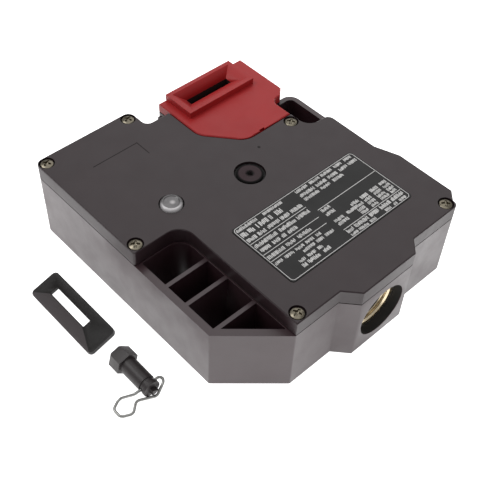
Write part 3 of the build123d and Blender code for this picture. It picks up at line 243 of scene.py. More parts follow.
def moulded_plastic(
    name, colour, roughness, grain=1600.0, depth=0.00002, mottle=0.07, gloss_range=0.05, ior=1.5
):
    """Moulded plastic with a fine spark grain, faint flow marks and uneven gloss."""
    material, tree, shader, where = finish_nodes(name, colour, roughness)
    shader.inputs["IOR"].default_value = ior
    flow = spread(tree, noise(tree, where, 45.0, 3.0), 0.0, 1.0)
    tint(tree, shader, flow, shade(colour, 1.0 - mottle), shade(colour, 1.0 + mottle))
    patch = noise(tree, where, 130.0, 2.0)
    gloss = spread(tree, patch, roughness - gloss_range, roughness + gloss_range)
    tree.links.new(gloss, shader.inputs["Roughness"])
    fine = noise(tree, where, grain, 2.0, 0.6)
    bumped(tree, shader, fine, depth)
    return material


def plated_metal(name, colour, roughness, scale=900.0, stretch=(1.0, 1.0, 1.0)):
    """Plated or ground metal with fine marks and uneven gloss."""
    material, tree, shader, where = finish_nodes(name, colour, roughness, 1.0)
    mapping = tree.nodes.new("ShaderNodeMapping")
    mapping.inputs["Scale"].default_value = stretch
    tree.links.new(where, mapping.inputs["Vector"])
    marks = noise(tree, mapping.outputs["Vector"], scale, 3.0, 0.6)
    tint(tree, shader, spread(tree, marks, 0.0, 1.0), shade(colour, 0.82), shade(colour, 1.12))
    gloss = spread(tree, marks, roughness * 0.75, roughness * 1.3)
    tree.links.new(gloss, shader.inputs["Roughness"])
    bumped(tree, shader, marks, 0.00001)
    return material


def rubber(name, colour):
    """Matt rubber with a powdery grain."""
    material, tree, shader, where = finish_nodes(name, colour, 0.8)
    powder = noise(tree, where, 1400.0, 3.0)
    dust = spread(tree, powder, 0.0, 1.0)
    tint(tree, shader, dust, shade(colour, 0.8), shade(colour, 1.5))
    bumped(tree, shader, powder, 0.00002)
    return material


def clear_plastic(name, colour, roughness, weight):
    """Cast clear plastic, a little wavy."""
    material, tree, shader, where = finish_nodes(name, colour, roughness)
    shader.inputs["Transmission Weight"].default_value = weight
    shader.inputs["IOR"].default_value = 1.49
    wave = noise(tree, where, 500.0, 1.0)
    tint(tree, shader, spread(tree, wave, 0.0, 1.0), shade(colour, 0.94), colour)
    bumped(tree, shader, wave, 0.00002, 0.4)
    return material


def wrapped_tape(name, colour, pitch):
    """Tape wound round the coil, its turns running round the coil's axis."""
    material, tree, shader, where = finish_nodes(name, colour, 0.42)
    wave = tree.nodes.new("ShaderNodeTexWave")
    wave.bands_direction = "X"
    wave.inputs["Scale"].default_value = pitch
    wave.inputs["Distortion"].default_value = 0.6
    tree.links.new(where, wave.inputs["Vector"])
    tint(tree, shader, wave.outputs["Fac"], shade(colour, 0.75), shade(colour, 1.2))
    bumped(tree, shader, wave.outputs["Fac"], 0.00008)
    return material


def board_finish(name, colour):
    """Lacquered circuit board with a faint glass weave."""
    material, tree, shader, where = finish_nodes(name, colour, 0.35)
    weave = tree.nodes.new("ShaderNodeTexChecker")
    weave.inputs["Scale"].default_value = 1100.0
    tree.links.new(where, weave.inputs["Vector"])
    tint(tree, shader, weave.outputs["Fac"], shade(colour, 0.85), shade(colour, 1.15))
    bumped(tree, shader, weave.outputs["Fac"], 0.00001, 0.5)
    return material


def dress(node, material):
    """A CAD node keeps its shape and takes the material."""
    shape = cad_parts[node]
    shape.data.materials.clear()
    shape.data.materials.append(material)
    for face in shape.data.polygons:
        face.material_index = 0


def finished(shape, name, material, body, nodes=(), smooth=35.0):
    """The bmesh becomes a piece of the switch that rides on a body."""
    mesh = bpy.data.meshes.new(name)
    shape.to_mesh(mesh)
    shape.free()
    for face in mesh.polygons:
        face.use_smooth = True
    mesh.set_sharp_from_angle(angle=radians(smooth))
    piece = bpy.data.objects.new(name, mesh)
    bpy.context.collection.objects.link(piece)
    mesh.materials.append(material)
    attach(piece, body)
    if nodes:
        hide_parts(*nodes)
    return piece


def turned(path, centre, steps):
    """A closed shape turned round an upright axis, its path of radii and heights ending on it."""
    shape = bmesh.new()
    verts = [
        shape.verts.new((centre[0] + radius, centre[1], height)) for radius, height in path
    ]
    edges = [shape.edges.new(pair) for pair in zip(verts, verts[1:])]
    bmesh.ops.spin(
        shape, geom=verts + edges, cent=(centre[0], centre[1], 0.0), axis=(0.0, 0.0, 1.0),
        angle=2 * pi, steps=steps, use_merge=True, use_duplicate=False,
    )
    bmesh.ops.remove_doubles(shape, verts=shape.verts, dist=0.000001)
    bmesh.ops.recalc_face_normals(shape, faces=shape.faces)
    return shape


def ringed(centre, rings, steps, turn=0.0):
    """A closed shape of rings round an upright axis, each a radius and a height or its rule."""
    shape = bmesh.new()
    rows = []
    for radius, height in rings:
        row = []
        for step in range(steps):
            angle = 2 * pi * step / steps
            z = height(radius, angle) if callable(height) else height
            x = centre.x + radius * cos(angle + turn) / 1000
            y = centre.y + radius * sin(angle + turn) / 1000
            row.append(shape.verts.new((x, y, z / 1000)))
        rows.append(row)
    for above, below in zip(rows, rows[1:]):
        for step in range(steps):
            after = (step + 1) % steps
            shape.faces.new((above[step], above[after], below[after], below[step]))
    shape.faces.new(rows[0])
    shape.faces.new(rows[-1])
    bmesh.ops.recalc_face_normals(shape, faces=shape.faces)
    return shape


def block(shape, low, high):
    """Adds a box between two corners to the shape."""
    size = Matrix.Diagonal((*(high - low), 1.0))
    bmesh.ops.create_cube(shape, size=1.0, matrix=Matrix.Translation((low + high) / 2) @ size)


def hoop(centre, path, steps):
    """A ring round an upright axis, its section given by radii and heights in millimetres."""
    shape = bmesh.new()
    rows = []
    for step in range(steps):
        angle = 2 * pi * step / steps
        row = []
        for radius, z in path:
            x = centre.x + radius * cos(angle) / 1000
            y = centre.y + radius * sin(angle) / 1000
            row.append(shape.verts.new((x, y, z / 1000)))
        rows.append(row)
    for step in range(steps):
        row, after = rows[step], rows[(step + 1) % steps]
        for index in range(len(path)):
            other = (index + 1) % len(path)
            shape.faces.new((row[index], after[index], after[other], row[other]))
    bmesh.ops.recalc_face_normals(shape, faces=shape.faces)
    return shape


def eased(value, start, end):
    """A soft step from 0 at the start to 1 at the end."""
    part = min(1.0, max(0.0, (value - start) / (end - start)))
    return part * part * (3.0 - 2.0 * part)


def from_axis(tree, where, x, y):
    """The flat offset from an upright axis, and its length."""
    offset = tree.nodes.new("ShaderNodeVectorMath")
    offset.operation = "SUBTRACT"
    offset.inputs[1].default_value = (x, y, 0.0)
    tree.links.new(where, offset.inputs[0])
    flat = tree.nodes.new("ShaderNodeVectorMath")
    flat.operation = "MULTIPLY"
    flat.inputs[1].default_value = (1.0, 1.0, 0.0)
    tree.links.new(offset.outputs["Vector"], flat.inputs[0])
    reach = tree.nodes.new("ShaderNodeVectorMath")
    reach.operation = "LENGTH"
    tree.links.new(flat.outputs["Vector"], reach.inputs[0])
    return flat.outputs["Vector"], reach.outputs["Value"]


# The lens, in metres: the flat direction from it to the camera, the radii over which its rim, the
# two sides of its step and its glint fade, and the glint's place beside the middle. On the rim a
# painted highlight faces the camera and painted shade lies away from it; the step takes painted
# shade away from the camera and the glint is a painted highlight.
LENS_TO_CAMERA = (-0.64, -0.77, 0.0)
LENS_RIM = (0.0033, 0.0037)
LENS_STEP_INNER = (0.0028, 0.0030)
LENS_STEP_OUTER = (0.0031, 0.0034)
LENS_GLINT_SIZE = (0.0003, 0.0013)
LENS_GLINT_PLACE = (0.0003, -0.0003)


def lens_plastic_and_painted_light(name, middle):
    """Clear lens plastic, with painted shade at its far rim and painted light at its near rim."""
    material, tree, shader, where = finish_nodes(name, LENS_PALE, 0.16)
    flat, reach = from_axis(tree, where, middle.x, middle.y)
    unit = tree.nodes.new("ShaderNodeVectorMath")
    unit.operation = "NORMALIZE"
    tree.links.new(flat, unit.inputs[0])
    toward = tree.nodes.new("ShaderNodeVectorMath")
    toward.operation = "DOT_PRODUCT"
    toward.inputs[1].default_value = LENS_TO_CAMERA
    tree.links.new(unit.outputs["Vector"], toward.inputs[0])
    rim = spread(tree, reach, 0.0, 1.0, *LENS_RIM)
    near = spread(tree, toward.outputs["Value"], 0.0, 1.0, 0.0, 0.75)
    far = spread(tree, toward.outputs["Value"], 1.0, 0.0, -0.5, 0.35)
    wave = noise(tree, where, 500.0, 1.0)
    body = blend(tree, spread(tree, wave, 0.0, 1.0), LENS_DARK, LENS_PALE)
    # Painted shade on the far rim, a painted highlight on the near rim, painted shade on the step
    # and a painted glint beside the middle.
    body = blend(tree, product(tree, rim, far), body, LENS_FAR_RIM_SHADE)
    body = blend(tree, product(tree, rim, near), body, LENS_NEAR_RIM_HIGHLIGHT)
    inner = spread(tree, reach, 0.0, 1.0, *LENS_STEP_INNER)
    outer = spread(tree, reach, 1.0, 0.0, *LENS_STEP_OUTER)
    step = product(tree, inner, outer)
    body = blend(tree, product(tree, step, far), body, LENS_STEP_SHADE)
    glint_x, glint_y = LENS_GLINT_PLACE
    spot = from_axis(tree, where, middle.x + glint_x, middle.y + glint_y)[1]
    body = blend(tree, spread(tree, spot, 1.0, 0.0, *LENS_GLINT_SIZE), body, LENS_GLINT)
    tree.links.new(body, shader.inputs["Base Color"])
    bumped(tree, shader, wave, 0.00001, 0.4)
    return material


def overlaid(material, mask, colour, roughness):
    """Where the mask is 1 the finish takes another colour and gloss."""
    tree = material.node_tree
    shader = tree.nodes["Principled BSDF"]
    under = shader.inputs["Base Color"].links[0].from_socket
    tree.links.new(blend(tree, mask, under, colour), shader.inputs["Base Color"])
    gloss = tree.nodes.new("ShaderNodeMix")
    gloss.data_type = "FLOAT"
    tree.links.new(mask, gloss.inputs["Factor"])
    tree.links.new(shader.inputs["Roughness"].links[0].from_socket, gloss.inputs["A"])
    gloss.inputs["B"].default_value = roughness
    tree.links.new(gloss.outputs["Result"], shader.inputs["Roughness"])


def inside(tree, low, high, soft=0.0001):
    """1 within a box on the object's own coordinates and 0 outside it."""
    parts = tree.nodes.new("ShaderNodeSeparateXYZ")
    tree.links.new(coordinates(tree), parts.inputs["Vector"])
    mask = None
    for axis, least, most in zip("XYZ", low, high):
        for start, end in ((least - soft, least), (most + soft, most)):
            step = spread(tree, parts.outputs[axis], 0.0, 1.0, start, end)
            mask = step if mask is None else product(tree, mask, step)
    return mask


def beside(tree, point, direction, soft=0.00015):
    """1 on the direction's side of an upright plane through the point, and 0 on the other."""
    offset = tree.nodes.new("ShaderNodeVectorMath")
    offset.operation = "SUBTRACT"
    offset.inputs[1].default_value = point
    tree.links.new(coordinates(tree), offset.inputs[0])
    reach = tree.nodes.new("ShaderNodeVectorMath")
    reach.operation = "DOT_PRODUCT"
    reach.inputs[1].default_value = Vector(direction).normalized()
    tree.links.new(offset.outputs["Vector"], reach.inputs[0])
    return spread(tree, reach.outputs["Value"], 0.0, 1.0, -soft, soft)


def even_shading(piece):
    """Flat faces stay flat beside their rounded edges."""
    level = piece.modifiers.new("Even shading", "WEIGHTED_NORMAL")
    level.keep_sharp = True
    level.weight = 60


def merged_copy(node):
    """A merged copy of a CAD node's mesh, its flat faces whole again."""
    shape = bmesh.new()
    shape.from_mesh(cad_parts[node].data)
    bmesh.ops.remove_doubles(shape, verts=shape.verts, dist=0.000002)
    bmesh.ops.dissolve_limit(
        shape, angle_limit=radians(0.4), verts=shape.verts, edges=shape.edges,
        use_dissolve_boundaries=False,
    )
    return shape


def bevelled(shape, edges, width, steps):
    """Rounds the edges in place."""
    bmesh.ops.bevel(
        shape, geom=edges, offset=width, offset_type="OFFSET", segments=steps, profile=0.5,
        affect="EDGES", clamp_overlap=True, material=-1,
    )


def rounded(node, name, width, material, reshape=None):
    """The CAD node's shape, its sharp edges rounded as a mould leaves them, within its own box."""
    shape = merged_copy(node)
    if reshape is not None:
        reshape(shape)
    edges = [
        edge
        for edge in shape.edges
        if len(edge.link_faces) == 2 and edge.calc_face_angle(0.0) > ROUNDED_FROM
    ]
    along = [[vert.co[axis] for vert in shape.verts] for axis in range(3)]
    spans = [(min(values), max(values)) for values in along]
    bevelled(shape, edges, width, ROUNDED_STEPS)
    for vert in shape.verts:
        vert.co = [min(high, max(low, part)) for part, (low, high) in zip(vert.co, spans)]
    piece = finished(shape, name, material, "housing", (node,), smooth=SMOOTH_BELOW)
    even_shading(piece)


# The painted shade on the case's rims: how far down it reaches in metres, and its share of the
# case's colour.
RIM_DEPTH = 0.00035
RIM_SHADE = 0.16
# The painted shade on the wall of the conduit's recess: how far it reaches beyond the ring on each
# side, and how far behind the boss's face it starts.
RECESS_CLEAR = 0.0006
RECESS_START = 0.0004


class CaseOperator(bpy.types.Operator):
    """Dresses the base case, painted shade on rims and recess, its seals and the blanking plug."""

    bl_idname = "interlock.case"
    bl_label = "Base case"

    def execute(self, context):
        sizes, colours = context.scene.switch_sizes, context.scene.switch_colours
        colour = tuple(colours.case)
        case = moulded_plastic(
            "case_plastic_finish", colour, 0.34, grain=1500.0, depth=0.000012, ior=1.6
        )
        low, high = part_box("base_case")
        # Painted shade on the rims at the top of the case.
        rim = inside(case.node_tree, (low.x, low.y, high.z - RIM_DEPTH), high)
        overlaid(case, rim, shade(colour, RIM_SHADE), 0.85)
        ring_low, ring_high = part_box("conduit_insert")
        middle = (ring_low + ring_high) / 2
        wall = (ring_high - ring_low) / 2 + Vector((RECESS_CLEAR, 0.0, RECESS_CLEAR))
        foot = Vector((middle.x - wall.x, low.y + RECESS_START, middle.z - wall.z))
        # Painted shade, near black, on the wall of the conduit's recess.
        recess = inside(case.node_tree, foot, middle + wall)
        overlaid(case, recess, RECESS_PAINTED_SHADE, 0.6)
        rounded("base_case", "base_case_moulded", sizes.case_edge, case)
        seal = rubber("seal_rubber_finish", tuple(colours.gasket))
        dress("cover_gasket", seal)
        dress("head_seal", seal)
        black = moulded_plastic("plug_plastic_finish", tuple(colours.black), 0.4)
        rounded("side_plug", "side_plug_moulded", sizes.small_edge, black)
        return {"FINISHED"}


# Shallow lines that the mould leaves on the cover, from corner to corner, and the mark of its
# gate, with how far they stand out of the cover and sink into it, all in millimetres.
COVER_LINES = ((15.7, 105.3, 36.9, 105.75), (36.9, 97.5, 37.35, 105.75))
LINE_RISE = 0.012
GATE_MARK = (72.4, 71.75)
GATE_RISE = 0.03
MARK_SINK = 0.05


class CoverOperator(bpy.types.Operator):
    """Dresses the top cover."""

    bl_idname = "interlock.cover"
    bl_label = "Top cover"

    def execute(self, context):
        sizes, colours = context.scene.switch_sizes, context.scene.switch_colours
        colour = tuple(colours.cover)
        finish = moulded_plastic(
            "cover_plastic_finish", colour, 0.42, grain=1900.0, depth=0.000016, gloss_range=0.03
        )
        rounded("top_cover", "top_cover_moulded", sizes.cover_edge, finish)
        shape = bmesh.new()
        for x0, y0, x1, y1 in COVER_LINES:
            block(shape, place(x0, y0, COVER_TOP - MARK_SINK), place(x1, y1, COVER_TOP + LINE_RISE))
        lines = moulded_plastic("cover_line_finish", shade(colour, 0.45), 0.6)
        lines.node_tree.nodes["Principled BSDF"].inputs["Specular IOR Level"].default_value = 0.3
        finished(shape, "cover_mould_lines", lines, "housing")
        top = COVER_TOP + GATE_RISE
        rings = [(0.35, top), (0.6, top), (0.75, COVER_TOP - MARK_SINK)]
        mark = ringed(place(*GATE_MARK, COVER_TOP), rings, 24)
        finished(mark, "cover_gate_mark", lines, "housing")
        return {"FINISHED"}


def cross_screw(middle, tip, top, turn):
    """A screw with a domed head, a cross recess and a thread, its heights in millimetres."""
    head_radius, wing_width, wing_length, hub = 2.75, 0.42, 1.75, 0.78
    dome_height, head_rim, head_foot = 0.75, 1.9, 2.2
    root, crest, pitch = 1.18, 1.5, 0.8

    def crown(radius, angle):
        """The height of the domed head with its recess."""
        u, v = abs(radius * cos(angle)), abs(radius * sin(angle))
        one_wing = min(wing_width - v, wing_length - u)
        other_wing = min(wing_width - u, wing_length - v)
        within = max(one_wing, other_wing, hub - radius)
        dome = top - dome_height * (radius / head_radius) ** 2
        return dome - eased(within, -0.06, 0.14) * (1.25 - 0.40 * radius)

    rings = [(0.06 + 0.115 * step, crown) for step in range(20)]
    rings += [(2.40, crown), (2.58, crown), (2.70, top - 0.85), (head_radius, top - 1.0)]
    rings += [(head_radius, top - head_rim), (2.6, top - head_foot), (crest, top - head_foot)]
    z = top - 4.0
    while z > tip + 2 * pitch:
        rings += [(root, z), (root, z - 0.2), (crest, z - 0.45), (crest, z - 0.55)]
        z -= pitch
    rings += [(1.1, tip + 0.7), (0.5, tip)]
    return ringed(middle, rings, 64, turn)


class ScrewsOperator(bpy.types.Operator):
    """Dresses the cover screws."""

    bl_idname = "interlock.screws"
    bl_label = "Cover screws"

    def execute(self, context):
        colours = context.scene.switch_colours
        finish = plated_metal("screw_finish", tuple(colours.screw), 0.26, scale=1300.0)
        draw = Random(7)
        for number in range(1, 7):
            node = f"cover_screw_{number}"
            low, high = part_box(node)
            turn = draw.uniform(0.2, 1.2)
            shape = cross_screw((low + high) / 2, low.z * 1000, high.z * 1000, turn)
            finished(
                shape, f"{node}_turned", finish, "housing", (node,), smooth=38.0
            )
        return {"FINISHED"}


# Rows of the nameplate in millimetres from its lower left corner: the height of their foot,
# their own height, and where each run of bars starts and ends.
PLATE_ROWS = (
    (29.8, 1.5, ((1.2, 11.4),)),
    (29.9, 1.3, ((14.6, 24.4),)),
    (26.6, 2.3, ((1.2, 4.0), (4.7, 7.4), (8.8, 9.4), (10.2, 14.6), (15.3, 16.6), (18.4, 21.8))),
    (23.6, 1.8, ((1.2, 5.6), (6.5, 10.3), (11.4, 17.4), (18.1, 22.4), (23.4, 29.2))),
    (19.8, 1.8, ((1.2, 12.4), (13.6, 21.9), (22.8, 29.2))),
    (17.1, 1.7, ((1.7, 6.2), (7.6, 11.2), (12.2, 14.2), (15.3, 20.0))),
    (13.0, 1.7, ((1.2, 9.4), (10.5, 15.0), (16.4, 23.0))),
    (9.4, 1.4, ((1.2, 4.9), (6.1, 10.5), (11.5, 15.6), (16.7, 20.6), (22.0, 24.3))),
    (7.2, 1.4, ((13.1, 19.1), (20.1, 23.6), (24.7, 29.0))),
    (4.6, 1.4, ((8.6, 11.6), (12.8, 16.9), (18.0, 20.4))),
    (2.3, 1.7, ((8.1, 10.2), (10.9, 16.8), (18.7, 22.2))),
    (29.8, 1.4, ((31.8, 38.0), (39.4, 44.8), (45.6, 51.6), (53.0, 57.2), (58.8, 62.8))),
    (27.1, 1.6, ((31.8, 39.4), (40.4, 46.0), (47.0, 52.0), (53.4, 57.8), (58.6, 63.2))),
    (24.8, 1.5, ((31.8, 39.4), (40.7, 45.8), (47.4, 53.0))),
    (16.4, 1.6, ((32.2, 36.8),)),
    (13.9, 1.6, ((32.2, 36.8),)),
    (11.4, 1.6, ((43.0, 47.2), (48.6, 52.4), (54.0, 58.0), (59.4, 63.0))),
    (9.5, 1.5, ((32.2, 36.9), (38.9, 47.6), (48.6, 52.4), (54.0, 58.0), (59.4, 63.0))),
    (7.6, 1.5, ((32.2, 37.6), (43.0, 46.8), (48.6, 52.4), (54.0, 58.0), (59.4, 63.0))),
    (5.9, 1.4, ((43.0, 46.6), (48.6, 52.0), (54.0, 58.6), (59.6, 62.6))),
    (2.9, 1.8, ((31.9, 35.4), (36.2, 43.4), (44.4, 49.2), (50.2, 55.8), (56.6, 63.2))),
    (
        0.95, 1.3,
        ((32.0, 35.6), (36.2, 41.2), (42.3, 45.5), (50.8, 54.0), (55.6, 57.4), (58.8, 62.6)),
    ),
)
# Ruled lines: their height, start and end, and their thickness.
PLATE_RULES = (
    (22.5, 0.9, 29.4), (15.8, 0.9, 29.4), (11.8, 0.9, 29.4), (18.4, 31.6, 63.6), (5.2, 31.6, 63.6),
)
RULE_LINE = 0.24
# The line round the plate: its distance from the edge, its thickness and the radius of its corners.
FRAME_EDGE, FRAME_LINE, FRAME_CORNER = 0.45, 0.22, 1.6
# How much of its pitch a bar fills, and how far its foot and its head are cut back.
BAR_FILLS = (0.50, 0.62, 0.74)
BAR_CUTS = ((0.0, 0.0), (0.0, 0.0), (0.0, 0.25), (0.18, 0.0))


class NameplateOperator(bpy.types.Operator):
    """Dresses the nameplate with plain rules and bars, none of them lettering."""

    bl_idname = "interlock.nameplate"
    bl_label = "Nameplate"

    def execute(self, context):
        sizes, colours = context.scene.switch_sizes, context.scene.switch_colours
        field = moulded_plastic(
            "nameplate_finish", tuple(colours.plate), 0.46, grain=2400.0, depth=0.000008, ior=1.4
        )
        dress("nameplate", field)
        low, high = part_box("nameplate")
        top = high.z
        shape = bmesh.new()

        def bar(x0, y0, x1, y1):
            """A printed bar, its sizes in millimetres from the plate's corner."""
            foot = Vector((low.x + x0 / 1000, low.y + y0 / 1000, top))
            size = Vector(((x1 - x0) / 1000, (y1 - y0) / 1000, sizes.print_height))
            block(shape, foot, foot + size)

        draw = Random(41)
        for height, tall, runs in PLATE_ROWS:
            pitch = 0.30 + 0.14 * tall
            for start, end in runs:
                count = max(1, round((end - start) / pitch))
                wide = (end - start) / count
                for part in range(count):
                    left = start + wide * part
                    right = left + wide * draw.choice(BAR_FILLS)
                    foot, head = draw.choice(BAR_CUTS)
                    bar(left, height + foot * tall, right, height + tall * (1.0 - head))
        for height, start, end in PLATE_RULES:
            bar(start, height, end, height + RULE_LINE)
        wide, tall = (high.x - low.x) * 1000, (high.y - low.y) * 1000
        edge, line = FRAME_EDGE, FRAME_LINE
        near = edge + FRAME_CORNER
        right, back = wide - near, tall - near
        bar(near, edge, right, edge + line)
        bar(near, tall - edge - line, right, tall - edge)
        bar(edge, near, edge + line, back)
        bar(wide - edge - line, near, wide - edge, back)
        for cx, cy, turn in (
            (near, near, pi), (right, near, 1.5 * pi), (right, back, 0.0), (near, back, 0.5 * pi),
        ):
            centre = Vector((low.x + cx / 1000, low.y + cy / 1000, top))
            ends = []
            for radius in (FRAME_CORNER - line, FRAME_CORNER):
                for z in (0.0, sizes.print_height):
                    offset = Vector((radius * cos(turn), radius * sin(turn), 0.0)) / 1000
                    ends.append(shape.verts.new(centre + offset + Vector((0.0, 0.0, z))))
            face = shape.faces.new((ends[0], ends[2], ends[3], ends[1]))
            bmesh.ops.spin(
                shape, geom=[face], cent=centre, axis=(0.0, 0.0, 1.0), angle=pi / 2, steps=6,
                use_merge=False, use_duplicate=False,
            )
        bmesh.ops.recalc_face_normals(shape, faces=shape.faces)
        ink = moulded_plastic(
            "print_finish", tuple(colours.ink), 0.55, grain=3000.0, depth=0.000004
        )
        finished(shape, "nameplate_print", ink, "housing")
        return {"FINISHED"}


# The lens above the cover: radii and heights in metres, from its middle outwards.
LENS_CROWN = (
    (0.0, 0.00082), (0.0024, 0.00084), (0.0029, 0.00086), (0.0031, 0.00104),
    (0.0036, 0.0011), (0.0040, 0.00098), (0.00425, 0.0007), (0.0044, 0.0002),
)
LENS_NECK = 0.00445
LENS_FLANGE = 0.0012


class IndicatorOperator(bpy.types.Operator):
    """Dresses the indicator lens, its lamp and its board."""

    bl_idname = "interlock.indicator"
    bl_label = "Indicator"

    def execute(self, context):
        low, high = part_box("indicator_lens")
        middle = (low + high) / 2
        top = COVER_TOP / 1000
        flange = (high.x - low.x) / 2
        path = [(radius, top + height) for radius, height in LENS_CROWN]
        path += [(LENS_NECK, low.z + LENS_FLANGE), (flange, low.z + LENS_FLANGE)]
        path += [(flange, low.z), (0.0, low.z)]
        shape = turned(path, (middle.x, middle.y), 72)
        lens = lens_plastic_and_painted_light("lens_finish", middle)
        finished(
            shape, "indicator_lens_cast", lens, "housing", ("indicator_lens",),
            smooth=40.0,
        )
        dress("indicator_led", clear_plastic("lamp_finish", LAMP_CLEAR, 0.1, 0.6))
        dress("indicator_board", board_finish("board_finish", BOARD_GREEN))
        return {"FINISHED"}


# The release disc in metres: the radii over which the painted shade on its rim and in its middle
# fades, the radius and the depth of its triangular pit and how much deeper the pit goes, and the
# rounding of the edges that lie beyond a radius.
DISC_RIM = (0.0042, 0.0048)
DISC_MIDDLE = (0.0011, 0.0021)
PIT_RADIUS, PIT_DEPTH, PIT_SINK = 0.0023, 0.001, 0.0016
ROUNDED_BEYOND = 0.0045
DISC_ROUNDING = 0.00055
# A black ring laid in the disc's groove as painted shade: its radii and its depths below the disc's
# face, in millimetres.
SHADE_RING_PATH = ((5.36, 0.95), (5.6, 0.85), (6.0, 0.85), (6.24, 0.95), (6.24, 1.3), (5.36, 1.3))


class ReleaseOperator(bpy.types.Operator):
    """Dresses the lock release disc, painted shade on it and a black ring of shade in its groove.
    """

    bl_idname = "interlock.release"
    bl_label = "Lock release"

    def execute(self, context):
        colour = shade(tuple(context.scene.switch_colours.cover), 1.55)
        finish = moulded_plastic("release_finish", colour, 0.6, ior=1.36)
        low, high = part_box("release_disc")
        middle = (low + high) / 2
        tree = finish.node_tree
        reach = from_axis(tree, coordinates(tree), middle.x, middle.y)[1]
        # Painted shade on the disc's rim by its groove, and in its middle, in the pit.
        overlaid(finish, spread(tree, reach, 0.0, 1.0, *DISC_RIM), DISC_PAINTED_SHADE, 0.95)
        overlaid(finish, spread(tree, reach, 1.0, 0.0, *DISC_MIDDLE), DISC_PAINTED_SHADE, 0.95)

        def away(vert):
            """How far a vertex lies from the disc's axis."""
            return (vert.co.xy - middle.xy).length

        shape = merged_copy("release_disc")
        for vert in shape.verts:
            if away(vert) < PIT_RADIUS and abs(vert.co.z - high.z + PIT_DEPTH) < 0.0001:
                vert.co.z -= PIT_SINK
        rims = [
            edge
            for edge in shape.edges
            if min(end.co.z for end in edge.verts) > high.z - 0.0002
            and min(away(end) for end in edge.verts) > ROUNDED_BEYOND
        ]
        bevelled(shape, rims, DISC_ROUNDING, 4)
        disc = finished(
            shape, "release_disc_moulded", finish, "release", ("release_disc",),
            smooth=SMOOTH_BELOW,
        )
        even_shading(disc)
        # A black ring laid in the disc's groove as painted shade.
        path = [(radius, high.z * 1000 - depth) for radius, depth in SHADE_RING_PATH]
        seal = rubber("release_shade_ring_finish", SHADE_RING_BLACK)
        ring = hoop(middle, path, 72)
        finished(ring, "release_shade_ring", seal, "housing", smooth=40.0)
        return {"FINISHED"}


# Half the length and width of the tongue slot with some room, how far the painted shade inside it
# reaches to the sides and down, and how far below the slot's mouth the painted shade starts, in
# metres.
SLOT_HALF = (0.0115, 0.0020)
SLOT_REACH = (0.0116, 0.0021, 0.0300)
SLOT_EDGE = 0.0002


class HeadOperator(bpy.types.Operator):
    """Dresses the red head with painted shade in its slot, its screws and the other zinc pieces."""

    bl_idname = "interlock.head"
    bl_label = "Head"

    def execute(self, context):
        sizes, colours = context.scene.switch_sizes, context.scene.switch_colours
        colour = tuple(colours.head)
        finish = moulded_plastic(
            "head_plastic_finish", colour, 0.45, grain=1500.0, depth=0.000014, ior=1.42
        )
        slot = place(*TONGUE_SLOT)
        reach = Vector(SLOT_REACH)

        def open_funnel(shape):
            """The foot of the funnel comes up to the height at which the slot shows."""
            for vert in shape.verts:
                x, y, z = vert.co - slot
                if abs(x) < SLOT_HALF[0] and abs(y) < SLOT_HALF[1] and abs(z) < 0.0001:
                    vert.co.z += FUNNEL_LIFT

        # Painted shade inside the tongue slot, below its mouth.
        mouth = slot + Vector((reach.x, reach.y, FUNNEL_LIFT - SLOT_EDGE))
        dark = inside(finish.node_tree, slot - reach, mouth)
        overlaid(finish, dark, shade(colour, 0.04), 0.8)
        rounded("head_body", "head_body_moulded", sizes.head_edge, finish, open_funnel)
        zinc = plated_metal("zinc_finish", ZINC, 0.35)
        for number in range(1, 5):
            dress(f"head_screw_{number}", zinc)
        for number in range(1, 7):
            dress(f"terminal_screw_{number}", zinc)
        dress("solenoid_frame", zinc)
        return {"FINISHED"}


# The pieces of ground steel.
STEEL_NODES = (
    "cam_shaft", "operating_rod", "rod_spring", "solenoid_core", "lock_plunger", "lock_spring",
)


class MechanismOperator(bpy.types.Operator):
    """Dresses the pieces inside the case."""

    bl_idname = "interlock.mechanism"
    bl_label = "Mechanism"

    def execute(self, context):
        steel = plated_metal("ground_steel_finish", STEEL, 0.3, stretch=(1.0, 0.1, 1.0))
        for node in STEEL_NODES:
            dress(node, steel)
        pale = moulded_plastic("pale_plastic_finish", PALE_PLASTIC, 0.45)
        for node in ("door_switch_block", "lock_switch_block", "terminal_block"):
            dress(node, pale)
        red = moulded_plastic("contact_plastic_finish", CONTACT_RED, 0.4)
        dress("door_switch_plunger", red)
        dress("lock_switch_plunger", red)
        dress("head_cam", moulded_plastic("cam_plastic_finish", CAM_BLACK, 0.4))
        dress("solenoid_coil", wrapped_tape("coil_tape_finish", COIL_TAPE, 700.0))
        return {"FINISHED"}


# The conduit thread: the core's radius in metres, the plain start, and where in its pitch the crest
# begins and ends. From DEEP_FROM on the ring lies in the dark.
THREAD_CORE = 0.0092
THREAD_START = 0.0004
THREAD_CREST = (0.44, 0.56)
DEEP_FROM = 0.0031


